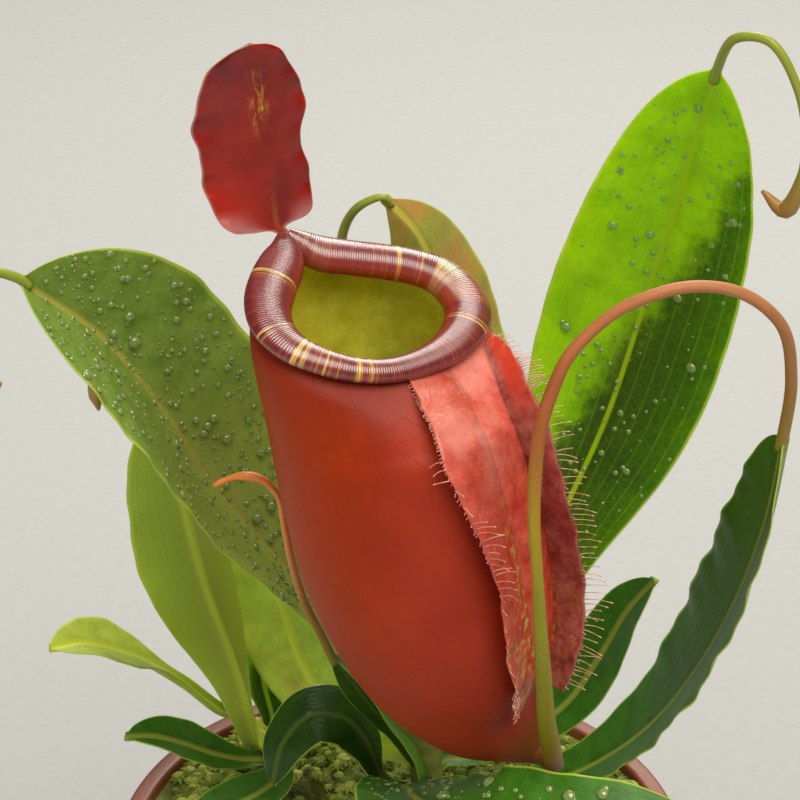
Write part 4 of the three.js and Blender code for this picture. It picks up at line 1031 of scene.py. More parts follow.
# %% [markdown]
# ## The lip
#
# The ring round the mouth is the plant's slippery edge: a glossy roll with close ribs across it, each
# about half a millimetre wide. Ribs this fine could be a bump map, but real ones catch the light one
# by one and scallop the edge, so here they are in the shape. Each rib has its own shade, and some
# groups of ribs are orange, yellow or cream, which draws the stripes.

# %% The lip's section and ribs
RIB_PITCH = 0.52
ROWS_PER_RIB = 5
RIB_HEIGHT = 0.1
LIP_COLUMNS = 34
FULL_HALF = 3.3
ROLL_DROP = 0.8
# Across, as a share of half the width (outward is positive), and height in mm over the middle line.
LIP_SECTION = np.array([
    [0.5, -1.8, 0], [0.84, -2.0, 0], [1.02, -1.3, 0], [1.0, -0.1, 0], [0.76, 0.95, 0], [0.38, 1.6, 0],
    [-0.1, 1.7, 0], [-0.55, 1.25, 0], [-0.9, 0.1, 0], [-1.08, -1.5, 0], [-1.1, -2.8, 0], [-0.98, -3.6, 0],
    [-0.78, -3.1, 0], [-0.5, -1.2, 0], [0.1, -0.6, 0],
])


def closed_line(points, count):
    """Evenly numbered points on a smooth closed line through the points."""
    doubled = np.concatenate([points[-2:], points, points[:3]])
    return through(doubled, 2 + np.arange(count) * len(points) / count)


lip_length = along(LIP_LINE, np.array([1.0]))[1]
ribs = int(lip_length / RIB_PITCH)
lip_share = np.linspace(0, 1, ribs * ROWS_PER_RIB + 1)
line = along(LIP_LINE, lip_share)[0]
tangent = unit(np.gradient(line[:, :2], axis=0))
outward = np.stack([tangent[:, 1], -tangent[:, 0]], axis=1)
half = line[:, 3]
section = closed_line(LIP_SECTION, LIP_COLUMNS)[:, :2]
fullness = np.minimum(1, half / FULL_HALF)[:, None]
rib_phase = lip_share * ribs
ripple = np.abs(np.sin(np.pi * rib_phase)) ** 0.8
across = section[None, :, 0] * half[:, None]
height = section[None, :, 1] * fullness
bulge = RIB_HEIGHT * (ripple[:, None] - 0.5) * fullness
reach = np.maximum(np.hypot(across, height + ROLL_DROP), 0.5)
across = across * (1 + bulge / reach)
height = height + (height + ROLL_DROP) * bulge / reach
front, side, lift = (line[:, n, None] for n in range(3))
lip_rings = in_mouth(front + outward[:, :1] * across, side + outward[:, 1:] * across, lift + height)

# %% The ribs' shades and stripes
# Where along the lip a stripe runs, from share to share, its hue from 0 orange to 1 cream, and its strength.
LIP_STRIPES = [
    (0.1, 0.108, 0.6, 1.0), (0.1105, 0.115, 0.15, 0.85), (0.222, 0.226, 0.8, 0.7), (0.229, 0.233, 0.95, 0.6),
    (0.27, 0.277, 0.6, 1.0), (0.283, 0.291, 0.65, 0.8), (0.303, 0.307, 0.2, 0.7), (0.315, 0.319, 0.5, 0.8),
    (0.324, 0.328, 0.2, 0.6), (0.333, 0.337, 0.5, 0.8), (0.36, 0.3665, 0.55, 1.0), (0.369, 0.373, 0.1, 0.8),
    (0.381, 0.385, 0.3, 0.6), (0.391, 0.394, 0.3, 0.5), (0.608, 0.614, 0.85, 0.9), (0.616, 0.62, 0.5, 0.6),
    (0.66, 0.705, 0.15, 0.25), (0.71, 0.756, 0.85, 0.6), (0.744, 0.756, 0.75, 1.0), (0.776, 0.78, 0.1, 0.8),
    (0.783, 0.787, 0.1, 0.5), (0.815, 0.823, 0.55, 1.0), (0.836, 0.84, 0.15, 0.8), (0.843, 0.846, 0.1, 0.5),
    (0.86, 0.864, 0.3, 0.4), (0.93, 0.985, 1.0, 0.14),
]
seeds = np.random.default_rng(17)
rib_number = np.minimum(rib_phase.astype(int), ribs - 1)
rib_tint = np.clip(seeds.normal(0.45, 0.17, ribs), 0, 1)
rib_keep = seeds.uniform(0.25, 1.0, ribs)
rib_centre = (np.arange(ribs) + 0.5) / ribs
rib_strength, rib_hue = np.zeros(ribs), np.zeros(ribs)
for start, stop, hue, strength in LIP_STRIPES:
    inside_stripe = (rib_centre > start) & (rib_centre < stop)
    rib_strength[inside_stripe] = strength * rib_keep[inside_stripe]
    rib_hue[inside_stripe] = hue
lip_marks = {
    "tint": rib_tint[rib_number][:, None],
    "stripe": rib_strength[rib_number][:, None],
    "hue": rib_hue[rib_number][:, None],
    "crest": ripple[:, None],
    "inward": smoothstep(-section[:, 0], 0.55, 1.0)[None],
}
COLUMN_WIDTH = 0.5
girth, way = np.arange(LIP_COLUMNS + 1)[None] * COLUMN_WIDTH, (lip_share * lip_length)[:, None]
lip_grain = np.stack(np.broadcast_arrays(girth, way), axis=2)
lip_mesh = skin("lip", lip_rings, lip_grain, lip_marks)
print(ribs, "ribs on a lip", round(lip_length, 1), "mm long")


# %% Lip tissue
def lip_paint(tree):
    """Glossy burgundy ribs, each with its own tone, with painted shade in the grooves, redder on the inner
    flank.
    """
    place = add_node(tree, "TexCoord").outputs["Object"]
    mark = {name: add_node(tree, "Attribute", attribute_name=name).outputs["Fac"] for name in lip_marks}
    burgundy = [(0, "#5e0d0b"), (0.5, "#7e1b17"), (1, "#a04438")]
    colour = add_node(tree, "ValToRGB", {"Fac": mark["tint"]}, burgundy)
    redder = add_node(tree, "Math", {0: mark["inward"], 1: 0.75}, operation="MULTIPLY")
    gold = [(0, "#dc6a1c"), (0.5, "#ecc42c"), (1, "#f0dca0")]
    bright = add_node(tree, "ValToRGB", {"Fac": mark["hue"]}, gold)
    stripe = add_node(tree, "TexNoise", {"Vector": place, "Scale": 240, "Detail": 3})
    stripe = add_node(tree, "MapRange", {0: stripe, 1: 0.3, 2: 0.5, 3: 0.55, 4: 1})
    stripe = add_node(tree, "Math", {0: mark["stripe"], 1: stripe}, operation="MULTIPLY")
    fading = add_node(tree, "MapRange", {0: mark["inward"], 3: 1, 4: 0.45})
    stripe = add_node(tree, "Math", {0: stripe, 1: fading}, operation="MULTIPLY")
    # Painted shade: the grooves between the ribs are darkened.
    groove = add_node(tree, "MapRange", {0: mark["crest"], 1: 0, 2: 0.55, 3: 0.55, 4: 0})
    for share, hue in ((redder, "#a02c12"), (stripe, bright), (groove, "#2c0709")):
        colour = add_node(tree, "Mix", {0: share, 6: colour, 7: hue}, data_type="RGBA")
    return {"Base Color": colour}


LIP_TISSUE = material_of(
    "Lip_Tissue_Glossy", lip_paint, Roughness=0.36, IOR=1.5, Coat_Weight=1.0, Coat_Roughness=0.26,
    Coat_IOR=1.8
)
show("lip", lip_mesh, [LIP_TISSUE], ["pitcher_lip"])

# %% [markdown]
# ## The wings and their fringe
#
# Two thin wings run down the front of the pitcher, and each free edge carries a fringe of hairs with
# tiny knobs. A wing is a ribbon between two lines, its root and its free edge, both placed on the
# cup's skin. The hairs are all computed at once: a hair is a bent, tapering tube with a knob, and
# arrays hold the start, direction and length of every hair.

# %% The wings
WING_ROWS, WING_COLUMNS = 170, 18
WING_HALF, WING_THINNING = 0.37, 0.2


def wing_sheet(table, share, overlap=0.0, sunk=0.65):
    """Points of a wing's middle layer at evenly read rows and at shares of the way from root to edge.

    The distance off the cup is the reach times share squared times (1.6 - 0.6 share), so the sheet
    leaves the skin smoothly. overlap moves the root by degrees, and sunk is its depth below the skin.
    """
    row, root_turn, edge_turn, reach = through(table, np.linspace(0, len(table) - 1, WING_ROWS)).T[..., None]
    root_turn = root_turn + overlap
    turn = root_turn + (edge_turn - root_turn) * share
    off = reach * share**2 * (1.6 - 0.6 * share) - sunk * (1 - share) ** 3
    return on_cup(row, turn, off, around=9, upward=0.7)


def wing_skin(name, table, ruffle, root_half=WING_HALF, **seat):
    """Rings of two faces: u runs from root to edge and then back. root_half is half the root's thickness."""
    u = np.linspace(0, 1, WING_COLUMNS)[None, :, None]
    sheet = wing_sheet(table, u[..., 0], **seat)
    root, edge = sheet[:, 0], sheet[:, -1]
    run = np.concatenate([[0], np.cumsum(np.linalg.norm(np.diff(edge, axis=0), axis=1))])
    face = unit(np.cross(np.gradient(sheet, axis=1), np.gradient(sheet, axis=0)))
    wave = ruffle * (np.sin(run / 2.1) + 0.7 * np.sin(run / 1.13 + 2) + 0.5 * np.sin(run / 5.3 + 1))
    sheet = sheet + face * (wave[:, None] * u[..., 0] ** 2)[..., None]
    thick = WING_HALF - WING_THINNING * u + (root_half - WING_HALF) * (1 - smoothstep(u, 0, 0.3))
    rings = np.concatenate([sheet + face * thick, (sheet - face * thick)[:, ::-1]], axis=1)
    share = u[0, :, 0]
    share = np.concatenate([share, share[::-1]])
    width = np.linalg.norm(edge - root, axis=1)[:, None]
    grain = np.stack(np.broadcast_arrays(share * width, run[:, None]), axis=2)
    grain = np.concatenate([grain, grain[:, :1]], axis=1)
    return skin(name, rings, grain, {"edgeward": share[None], "downward": (run / run[-1])[:, None]})


def wing_tissue(name, dark, light, painted_top_light, inner, fleck, flecked, gloss, painted_highlights=False):
    """Thin fleshy tissue: mottled, with painted light at its top, a pale rim and yellow flecks lower down.

    inner is the colour beside the wing's root in its lower part, and painted_highlights adds the painted
    highlight patches near the lip.
    """

    def paint(tree):
        place = add_node(tree, "TexCoord").outputs["Object"]
        down = add_node(tree, "Attribute", attribute_name="downward").outputs["Fac"]
        edge = add_node(tree, "Attribute", attribute_name="edgeward").outputs["Fac"]
        mottle = add_node(tree, "TexNoise", {"Vector": place, "Scale": 210, "Detail": 4, "Roughness": 0.7})
        colour = add_node(tree, "ValToRGB", {"Fac": mottle}, [(0.35, dark), (0.65, light)])
        outer = add_node(tree, "MapRange", {0: edge, 1: 0.25, 2: 0.7}, **S_CURVE)
        # Painted light: the top of the wing towards its free edge is lit brighter.
        top = add_node(tree, "MapRange", {0: down, 1: 0.34, 2: 0.08, 3: 0, 4: 0.85}, **S_CURVE)
        top = add_node(tree, "Math", {0: top, 1: outer}, operation="MULTIPLY")
        lower = add_node(tree, "MapRange", {0: down, 1: 0.35, 2: 0.6}, **S_CURVE)
        rooted = add_node(tree, "MapRange", {0: edge, 1: 0.34, 2: 0.22, 3: 0, 4: lower}, **S_CURVE)
        dots = add_node(tree, "TexNoise", {"Vector": place, "Scale": 520, "Detail": 3})
        dots = add_node(tree, "MapRange", {0: dots, 1: 0.5, 2: 0.6})
        low = add_node(tree, "MapRange", {0: down, 1: 0.6, 2: 0.78, 3: 0, 4: flecked}, **S_CURVE)
        low = add_node(tree, "Math", {0: rooted, 1: 0.7, 2: low}, operation="MULTIPLY_ADD", use_clamp=True)
        dots = add_node(tree, "Math", {0: dots, 1: low}, operation="MULTIPLY")
        rim = add_node(tree, "MapRange", {0: edge, 1: 0.93, 2: 1, 3: 0, 4: 0.45})
        pale = [(painted_highlight_patches(tree, place), PAINTED_HIGHLIGHT)] if painted_highlights else []
        for share, hue in [(top, painted_top_light), *pale, (rooted, inner), (dots, fleck), (rim, light)]:
            colour = add_node(tree, "Mix", {0: share, 6: colour, 7: hue}, data_type="RGBA")
        crepe = add_node(tree, "UVMap", uv_map="grain")
        crepe = add_node(tree, "Mapping", {"Vector": crepe, "Scale": (0.3, 0.5, 1)})
        crepe = add_node(tree, "TexNoise", {"Vector": crepe, "Scale": 1, "Detail": 4})
        crepe = add_node(tree, "Math", {0: mottle, 1: 4, 2: crepe}, operation="MULTIPLY_ADD")
        bump = add_node(tree, "Bump", {"Strength": 0.3, "Distance": 0.0006, "Height": crepe})
        return {"Base Color": colour, "Normal": bump}

    return material_of(
        name, paint, Roughness=gloss, IOR=1.45, Subsurface_Weight=0.25, Subsurface_Radius=(1.0, 0.25, 0.1),
        Subsurface_Scale=0.003
    )


NEAR_TISSUE = wing_tissue(
    "Wing_Tissue_Salmon", "#b4341e", "#d65c48", "#d86a56", "#c04a2c", "#c2a63c", 0.7, 0.34, True
)
# Painted shade: the far wing is the near wing's tissue in maroon, as its shaded inner face looks, with a
# painted pinkish sheen in its lighter mottle.
FAR_TISSUE = wing_tissue(
    "Wing_Tissue_Maroon_Painted_Shade", "#7e2e2a", "#ac6458", "#d0380e", "#b8482a", "#b8922c", 0.25, 0.4
)
near_wing = wing_skin("near_wing", NEAR_WING, 0.22, 0.03, overlap=7, sunk=0.05)
far_wing = wing_skin("far_wing", FAR_WING, 0.3)
show("near_wing", near_wing, [NEAR_TISSUE], ["wing_near"])
show("far_wing", far_wing, [FAR_TISSUE], ["wing_far"])

# %% The fringe hairs
HAIR_SIDES = 5
HAIR_STEPS = np.array([0, 0.25, 0.55, 0.85, 0.94, 1.0])
HAIR_RADII = np.array([0.13, 0.1, 0.08, 0.07, 0.16, 0.08])


def hair_mesh(name, starts, ways, lengths, sag):
    """Bent tapering tubes. A hair's line is start + length times (way u + sag u squared)."""
    u = HAIR_STEPS[None, :, None]
    line = starts[:, None] + lengths[:, None, None] * (ways[:, None] * u + sag[:, None] * u**2)
    side = unit(np.cross(ways, [0.31, 0.17, 0.93]))
    up = np.cross(ways, side)
    angle = np.linspace(0, 2 * np.pi, HAIR_SIDES, endpoint=False)
    ring = side[:, None, None] * np.cos(angle)[:, None] + up[:, None, None] * np.sin(angle)[:, None]
    rings = line[:, :, None] + ring * HAIR_RADII[None, :, None, None]
    steps = len(HAIR_STEPS)
    i, j = np.meshgrid(np.arange(steps - 1), np.arange(HAIR_SIDES), indexing="ij")
    after = (j + 1) % HAIR_SIDES
    low, high = i * HAIR_SIDES, (i + 1) * HAIR_SIDES
    quads = np.stack([low + j, low + after, high + after, high + j], axis=2)
    shift = np.arange(len(starts)) * steps * HAIR_SIDES
    sides = (quads.reshape(-1, 4)[None] + shift[:, None, None]).reshape(-1, 4)
    cap = np.arange(HAIR_SIDES)
    feet = cap[::-1][None] + shift[:, None]
    tips = cap[None] + (steps - 1) * HAIR_SIDES + shift[:, None]
    mesh = bpy.data.meshes.new(name)
    mesh.from_pydata((rings.reshape(-1, 3) * MM).tolist(), [], sides.tolist() + feet.tolist() + tips.tolist())
    return mesh


def fringe(table, groups, seed):
    """Starts, ways, lengths and sags of a wing's hairs, from rows of (from, to, count, length, way)."""
    chance = np.random.default_rng(seed)
    middle, edge = wing_sheet(table, np.array([[0.5, 1.0]])).swapaxes(0, 1)
    run = np.linspace(0, 1, WING_ROWS)
    starts, ways, lengths = [], [], []
    for first, last, count, length, way in groups:
        at = np.linspace(first, last, count) + chance.normal(0, 0.15 * (last - first) / count, count)
        start = np.stack([np.interp(at, run, edge[:, n]) for n in range(3)], axis=1)
        off = unit(start - np.stack([np.interp(at, run, middle[:, n]) for n in range(3)], axis=1))
        lean = off if way is None else unit(np.asarray(way, float) + 0.35 * off)
        starts.append(start - 0.15 * lean)
        ways.append(unit(lean + chance.normal(0, 0.08, (count, 3))))
        lengths.append(length * chance.uniform(0.75, 1.15, count))
    starts, ways, lengths = np.concatenate(starts), np.concatenate(ways), np.concatenate(lengths)
    return starts, ways, lengths, chance.normal(0, 0.07, (len(starts), 3)) - [0, 0, 0.24]


def hair_paint(tree):
    """Soft cream hairs with a satin skin, pinker in patches."""
    place = add_node(tree, "TexCoord").outputs["Object"]
    drift = add_node(tree, "TexNoise", {"Vector": place, "Scale": 500})
    return {"Base Color": add_node(tree, "ValToRGB", {"Fac": drift}, [(0.35, "#c9705e"), (0.6, "#e8b49a")])}


HAIR_TISSUE = material_of(
    "Fringe_Hairs_Cream", hair_paint, Roughness=0.4, IOR=1.45, Subsurface_Weight=0.2, Subsurface_Scale=0.001
)
NEAR_FRINGE = [
    (0.02, 0.6, 52, 1.0, None), (0.405, 0.455, 3, 4.6, (-0.9, -0.3, 0.2)),
    (0.47, 0.5, 2, 3.0, (0.9, -0.5, 0.1)), (0.53, 0.66, 13, 7.2, (0.9, -0.35, 0.85)),
    (0.66, 0.9, 9, 2.2, (0.4, -0.5, 0.1)), (0.88, 0.995, 18, 3.0, (-0.3, -0.6, -0.3)),
]
FAR_FRINGE = [
    (0.04, 0.2, 8, 2.4, (0.8, 0.1, 0.3)), (0.2, 0.5, 26, 5.0, (0.9, 0.1, 0.45)),
    (0.5, 0.8, 26, 5.6, (0.93, -0.1, 0.3)), (0.8, 0.97, 13, 4.6, (0.9, -0.2, 0.05)),
    (0.03, 0.98, 40, 1.1, None),
]
for name, table, groups, seed, slot in (
    ("near_fringe", NEAR_WING, NEAR_FRINGE, 5, "wing_tissue"),
    ("far_fringe", FAR_WING, FAR_FRINGE, 6, "wing_shaded"),
):
    starts, ways, lengths, sag = fringe(table, groups, seed)
    show(name, hair_mesh(name, starts, ways, lengths, sag), [HAIR_TISSUE])
    print(name, len(starts), "hairs")

# %% [markdown]
# ## The lid
#
# The lid stands up behind the mouth on a short stalk. It is a rounded blade, a little wavy at its
# margin, with two lobes at its base that curl forward. Its two halves differ in width, so the
# outline is one table of left and right half widths, read smoothly from the stalk to the top.

# %% The lid
LID_BASE = np.array([-27, -28.7, 289.1])
LID_HEIGHT = 43.3
LID_LEAN = np.array([-4.9, -0.5, 0])
LID_BEND = 0.25
LOBE_CURL, TOP_NOD, RIB_RIDGE = 2.7, 0.96, 0.35
LID_EDGE, LID_SWELL = 0.35, 0.75
STALK_SHIFT = np.array([1.8, 0.5, -0.4])
LID_ROWS, LID_COLUMNS = 110, 61
lid_turn = np.radians(-60)
LID_FACE = np.array([np.cos(lid_turn), np.sin(lid_turn), 0])
LID_ACROSS = np.array([-LID_FACE[1], LID_FACE[0], 0])
# Rows of share of the height, left half width and right half width.
LID_OUTLINE = np.array([
    [-0.06, 1.3, 1.3], [-0.02, 1.5, 1.5], [0.005, 6.6, 2.2], [0.035, 10.9, 7.6], [0.08, 12.9, 9.6],
    [0.14, 13.6, 10.2], [0.26, 14.5, 10.6], [0.37, 14.4, 10.0], [0.46, 14.4, 9.6], [0.55, 15.1, 11.4],
    [0.62, 14.7, 12.4], [0.7, 13.5, 12.0], [0.8, 11.8, 10.4], [0.87, 9.9, 8.9], [0.93, 7.7, 7.5],
    [0.975, 4.9, 4.4], [1.0, 0.8, 0.8],
])
row = np.interp(
    np.linspace(0, 1, LID_ROWS) ** 0.9, np.linspace(0, 1, len(LID_OUTLINE)), np.arange(len(LID_OUTLINE)))
share, left, right = through(LID_OUTLINE * [20, 1, 1], row).T / [[20], [1], [1]]
share = share[:, None]
q = np.linspace(-1, 1, LID_COLUMNS)[None]
lid_across = np.where(q < 0, q * np.maximum(left, 0.5)[:, None], q * np.maximum(right, 0.5)[:, None])
spread = np.sqrt(lid_across**2 + 9) - 3
curl = LOBE_CURL * np.exp(-((share / 0.12) ** 2)) * np.clip(np.abs(lid_across) / 10, 0, 1.1) ** 2
wave = 0.35 * np.sin(share * 23 + 2 * np.sign(q)) + 0.3 * np.sin(share * 41 + 1 + np.sign(q))
wave = wave * np.abs(q) ** 4
ridge = RIB_RIDGE * np.exp(-((lid_across / 0.9) ** 2)) * (1 - share)
nod = TOP_NOD * smoothstep(share, 0.8, 1.05)
depth = -LID_BEND * spread + curl + wave * smoothstep(share, 0.02, 0.2) + ridge + nod
thick = LID_EDGE + LID_SWELL * (1 - np.abs(q) ** 2.5) * (1.4 - share * 0.5)
rooted = 1 - smoothstep(share, -0.06, 0.03)
lid_place = LID_BASE + (LID_LEAN + [0, 0, LID_HEIGHT]) * share[..., None] + STALK_SHIFT * rooted[..., None]
front = lid_place + LID_ACROSS * lid_across[..., None] + LID_FACE * depth[..., None]
back = front - LID_FACE * thick[..., None]
lid_rings = np.concatenate([front, back[:, ::-1]], axis=1)
lid_wide = np.concatenate([lid_across, lid_across[:, ::-1]], axis=1)
lid_grain = np.stack([lid_wide, np.broadcast_to(share * LID_HEIGHT, lid_wide.shape)], axis=2)
lid_grain = np.concatenate([lid_grain, lid_grain[:, :1]], axis=1)
lid_q = np.concatenate([q, q[:, ::-1]], axis=1)
lid_mesh = skin("lid", lid_rings, lid_grain, {"across": lid_q, "upward": share})


def lid_paint(tree):
    """Deep red blade: painted light low on its left, a painted greyish sheen above it, painted highlights on
    the base lobes, yellow flecks by the midrib, a pale rim.
    """
    place = add_node(tree, "TexCoord").outputs["Object"]
    x = add_node(tree, "SeparateXYZ", {0: add_node(tree, "UVMap", uv_map="grain")})
    up = add_node(tree, "Attribute", attribute_name="upward").outputs["Fac"]
    across = add_node(tree, "Attribute", attribute_name="across").outputs["Fac"]
    outward = add_node(tree, "Math", {0: across}, operation="ABSOLUTE")
    off_rib = add_node(tree, "Math", {0: x}, operation="ABSOLUTE")
    cloud = add_node(tree, "TexNoise", {"Vector": place, "Scale": 70, "Detail": 5, "Roughness": 0.65})
    reds = [(0.32, "#6a0b04"), (0.5, "#881208"), (0.7, "#a01f0e")]
    colour = add_node(tree, "ValToRGB", {"Fac": cloud}, reds)
    # Painted light on the lower left of the blade, and a painted greyish sheen above it.
    leftward = add_node(tree, "MapRange", {0: across, 1: 0.3, 2: -0.7}, **S_CURVE)
    low = add_node(tree, "MapRange", {0: up, 1: 0.5, 2: 0.1, 3: 0, 4: 0.55}, **S_CURVE)
    low = add_node(tree, "Math", {0: low, 1: leftward}, operation="MULTIPLY")
    high = add_node(tree, "MapRange", {0: up, 1: 0.45, 2: 0.75, 3: 0, 4: 0.3}, **S_CURVE)
    high = add_node(tree, "Math", {0: high, 1: leftward}, operation="MULTIPLY")
    # Painted highlights: the base lobes are pinkish where they curl forward.
    lobes = add_node(tree, "MapRange", {0: up, 1: 0.16, 2: 0, 3: 0, 4: 0.75}, **S_CURVE)
    sideways = add_node(tree, "MapRange", {0: outward, 1: 0.25, 2: 0.8}, **S_CURVE)
    lobes = add_node(tree, "Math", {0: lobes, 1: sideways}, operation="MULTIPLY")
    # The yellow flecks are drawn out upwards, lie within 3 mm of the midrib and fade out at both ends.
    beside = add_node(tree, "MapRange", {0: off_rib, 1: 3, 2: 0.4}, **S_CURVE)
    ends = [(0.32, "#000000"), (0.5, "#484848"), (0.62, "#ffffff"), (0.78, "#ffffff"), (0.87, "#000000")]
    span = add_node(tree, "ValToRGB", {"Fac": up}, ends)
    beside = add_node(tree, "Math", {0: beside, 1: span}, operation="MULTIPLY")
    flecks = add_node(tree, "Mapping", {"Vector": place, "Scale": (1, 1, 0.35)})
    flecks = add_node(tree, "TexNoise", {"Vector": flecks, "Scale": 620, "Detail": 5, "Roughness": 0.75})
    flecks = add_node(tree, "MapRange", {0: flecks, 1: 0.5, 2: 0.64})
    flecks = add_node(tree, "Math", {0: beside, 1: flecks}, operation="MULTIPLY")
    foot = add_node(tree, "MapRange", {0: up, 1: 0.28, 2: 0.02}, **S_CURVE)
    rib = add_node(tree, "MapRange", {0: off_rib, 1: 0.9, 2: 0.3, 3: 0, 4: 0.55})
    rib = add_node(tree, "Math", {0: foot, 1: rib}, operation="MULTIPLY")
    edge = add_node(tree, "MapRange", {0: outward, 1: 0.965, 2: 1, 3: 0, 4: 0.7})
    for share, hue in (
        (low, "#b4260a"), (high, "#6e3436"), (lobes, "#c08480"), (flecks, "#c09a30"), (rib, "#a05a24"),
        (edge, "#c88a72"),
    ):
        colour = add_node(tree, "Mix", {0: share, 6: colour, 7: hue}, data_type="RGBA")
    fibres = add_node(tree, "Mapping", {"Vector": place, "Scale": (0.35, 0.35, 1)})
    fibres = add_node(tree, "TexNoise", {"Vector": fibres, "Scale": 900, "Detail": 4, "Roughness": 0.6})
    swell = add_node(tree, "Math", {0: cloud, 1: 4, 2: fibres}, operation="MULTIPLY_ADD")
    bump = add_node(tree, "Bump", {"Strength": 0.3, "Distance": 0.0004, "Height": swell})
    return {"Base Color": colour, "Normal": bump}


LID_TISSUE = material_of(
    "Lid_Tissue_Deep_Red", lid_paint, Roughness=0.34, IOR=1.45, Coat_Weight=0.25, Coat_Roughness=0.2,
    Subsurface_Weight=0.1, Subsurface_Radius=(1.0, 0.3, 0.15), Subsurface_Scale=0.002, Sheen_Weight=0.06,
    Sheen_Roughness=0.35, Sheen_Tint=linear_colour("#d8b8c0")
)
show("lid", lid_mesh, [LID_TISSUE], ["pitcher_lid"])

# %% [markdown]
# ## Water drops
#
# The leaves have just been sprayed. A drop on a waxed leaf is a flattened dome that bends the light
# like a small lens. Particles could scatter them, but particles aren't kept when the model is shared,
# so each drop is copied into one mesh: arrays hold its share of the leaf's length and width, and the
# leaf's own formula gives its place and the way it faces.

# %% The drops
DROP_SIDES = 8
drop_turn = np.linspace(0, 2 * np.pi, DROP_SIDES, endpoint=False)
drop_rings = np.array([[0.5, 0.62], [0.86, 0.4], [1.0, 0.08], [0.88, -0.08]])
ring = np.stack([np.cos(drop_turn), np.sin(drop_turn)], axis=1)
drop_shape = np.concatenate([
    [[0, 0, 0.72]],
    *[np.column_stack([ring * reach, np.full(DROP_SIDES, height)]) for reach, height in drop_rings],
    [[0, 0, -0.08]],
])


def dome_faces(sides, rings):
    """Faces of a closed dome: a fan at its top, bands of four-sided faces and a fan below."""
    turn = np.arange(sides)
    after = (turn + 1) % sides
    first = 1 + np.arange(rings - 1)[:, None] * sides
    second = first + sides
    bands = np.stack([first + turn, second + turn, second + after, first + after], axis=2).reshape(-1, 4)
    last = 1 + (rings - 1) * sides
    top = np.stack([np.zeros(sides, int), 1 + turn, 1 + after], axis=1)
    low = np.stack([np.full(sides, last + sides), last + after, last + turn], axis=1)
    return top.tolist() + bands.tolist() + low.tolist()


def water_paint(tree):
    """Clean water: only a trace of unevenness in its surface."""
    place = add_node(tree, "TexCoord").outputs["Object"]
    swell = add_node(tree, "TexNoise", {"Vector": place, "Scale": 800})
    return {"Normal": add_node(tree, "Bump", {"Strength": 0.05, "Distance": 0.0001, "Height": swell})}


# The pale green in the water's colour is painted light: it stands for the light a drop gathers onto the leaf
# beneath it.
WATER = material_of("Water_Painted_Glow", water_paint, Base_Color=linear_colour("#b4cc74"), Roughness=0.03, IOR=1.33,
                    Transmission_Weight=0.6, Coat_Weight=1.0, Coat_IOR=1.7, Coat_Roughness=0.03)
# Drops on a leaf: how many, and where along and across it they lie, as shares.
SPRAYED = {
    "leaf_left": (700, (0.3, 0.97), (-0.94, 0.94)),
    "leaf_right": (170, (0.3, 0.95), (-0.92, 0.9)),
    "leaf_front": (160, (0.3, 0.95), (-0.85, 0.85)),
}
for number, (node, (count, length_range, width_range)) in enumerate(SPRAYED.items()):
    leaf = LEAVES[node]
    chance = np.random.default_rng(40 + number)
    s = np.sort(chance.uniform(*length_range, count))
    q = chance.uniform(*width_range, count)
    size = 0.3 + 0.55 * chance.uniform(0, 1, count) ** 1.6 + 1.2 * chance.uniform(0, 1, count) ** 14
    centre, side, up, length = leaf_frame(leaf, s)
    half = leaf_half_width(leaf, s)
    height = leaf_top(leaf, q, s, half, length)
    place = centre + side * (q * half)[:, None] + up * height[:, None]
    slope = leaf["fold"] * q / np.sqrt(q**2 + 0.02)
    normal = unit(up - side * slope[:, None])
    first = unit(side + normal * slope[:, None])
    second = np.cross(normal, first)
    axes = np.stack([first, second, normal], axis=2) * size[:, None, None]
    name = node.removeprefix("leaf_") + "_drops"
    mesh = copies(name, drop_shape, dome_faces(DROP_SIDES, len(drop_rings)), place, axes)
    show(name, mesh, [WATER])
    print(name, count, "drops, the largest", round(2 * size.max(), 1), "mm across")

# %% [markdown]
# ## Stems, the newest leaf and a young pitcher
#
# The stems are hidden in the middle of the rosette, but they show from the back. Old leaf bases leave
# rings on them. The newest leaf is still rolled up into a spear: its edge winds once round it, which
# the formula makes with a radius that grows through one turn. A small, still closed pitcher hangs
# from the back leaf's tendril, with two ridges that will become its wings.

# %% Stems
STEM_TISSUE = wiry_tissue(
    "Stem_Tissue_Olive", [(0, "#5a4a26"), (0.5, "#6d6a30"), (1, "#86903c")], "#4a3a20", shine=0.5
)
LEAF_SCAR, SCAR_HEIGHT = 5.5, 0.07


def scarred(length):
    """Rings left by old leaves: the size of a sine, with a new ring every LEAF_SCAR mm along the stem."""

    def swell(s, turn):
        return 1 + SCAR_HEIGHT * np.abs(np.sin(np.pi * (s * length + 0.4 * np.sin(turn)) / LEAF_SCAR))

    return swell


for name, node, stem in (("main_stem", "stem_main", MAIN_STEM), ("side_stem", "stem_side", SIDE_STEM)):
    foot, top = np.array(stem["foot"], float), np.array(stem["top"], float)
    points = np.array([foot, (foot * 0.6 + top * 0.4) + [0.6, 0.2, 0], top])
    radii = [[0, stem["radii"][0]], [0.94, stem["radii"][1]], [1, stem["radii"][1] * 0.7]]
    mesh = tube_skin(name, points, radii, 60, 32, scarred(np.linalg.norm(top - foot)))
    show(name, mesh, [STEM_TISSUE], [node])

# %% The rolled leaf
x, y, z = MAIN_STEM["top"]
spear_points = np.array([x, y, z]) + [[0, 0, -3], [-0.4, 0, 8], [-1, 0, 20], [-3, 1, 44], [-6, 3, 66]]


def rolled(s, turn):
    """The radius grows through one turn, so the free edge stands proud, and it winds as it climbs."""
    return 0.9 + 0.22 * ((turn / (2 * np.pi) + 0.35 * s) % 1)


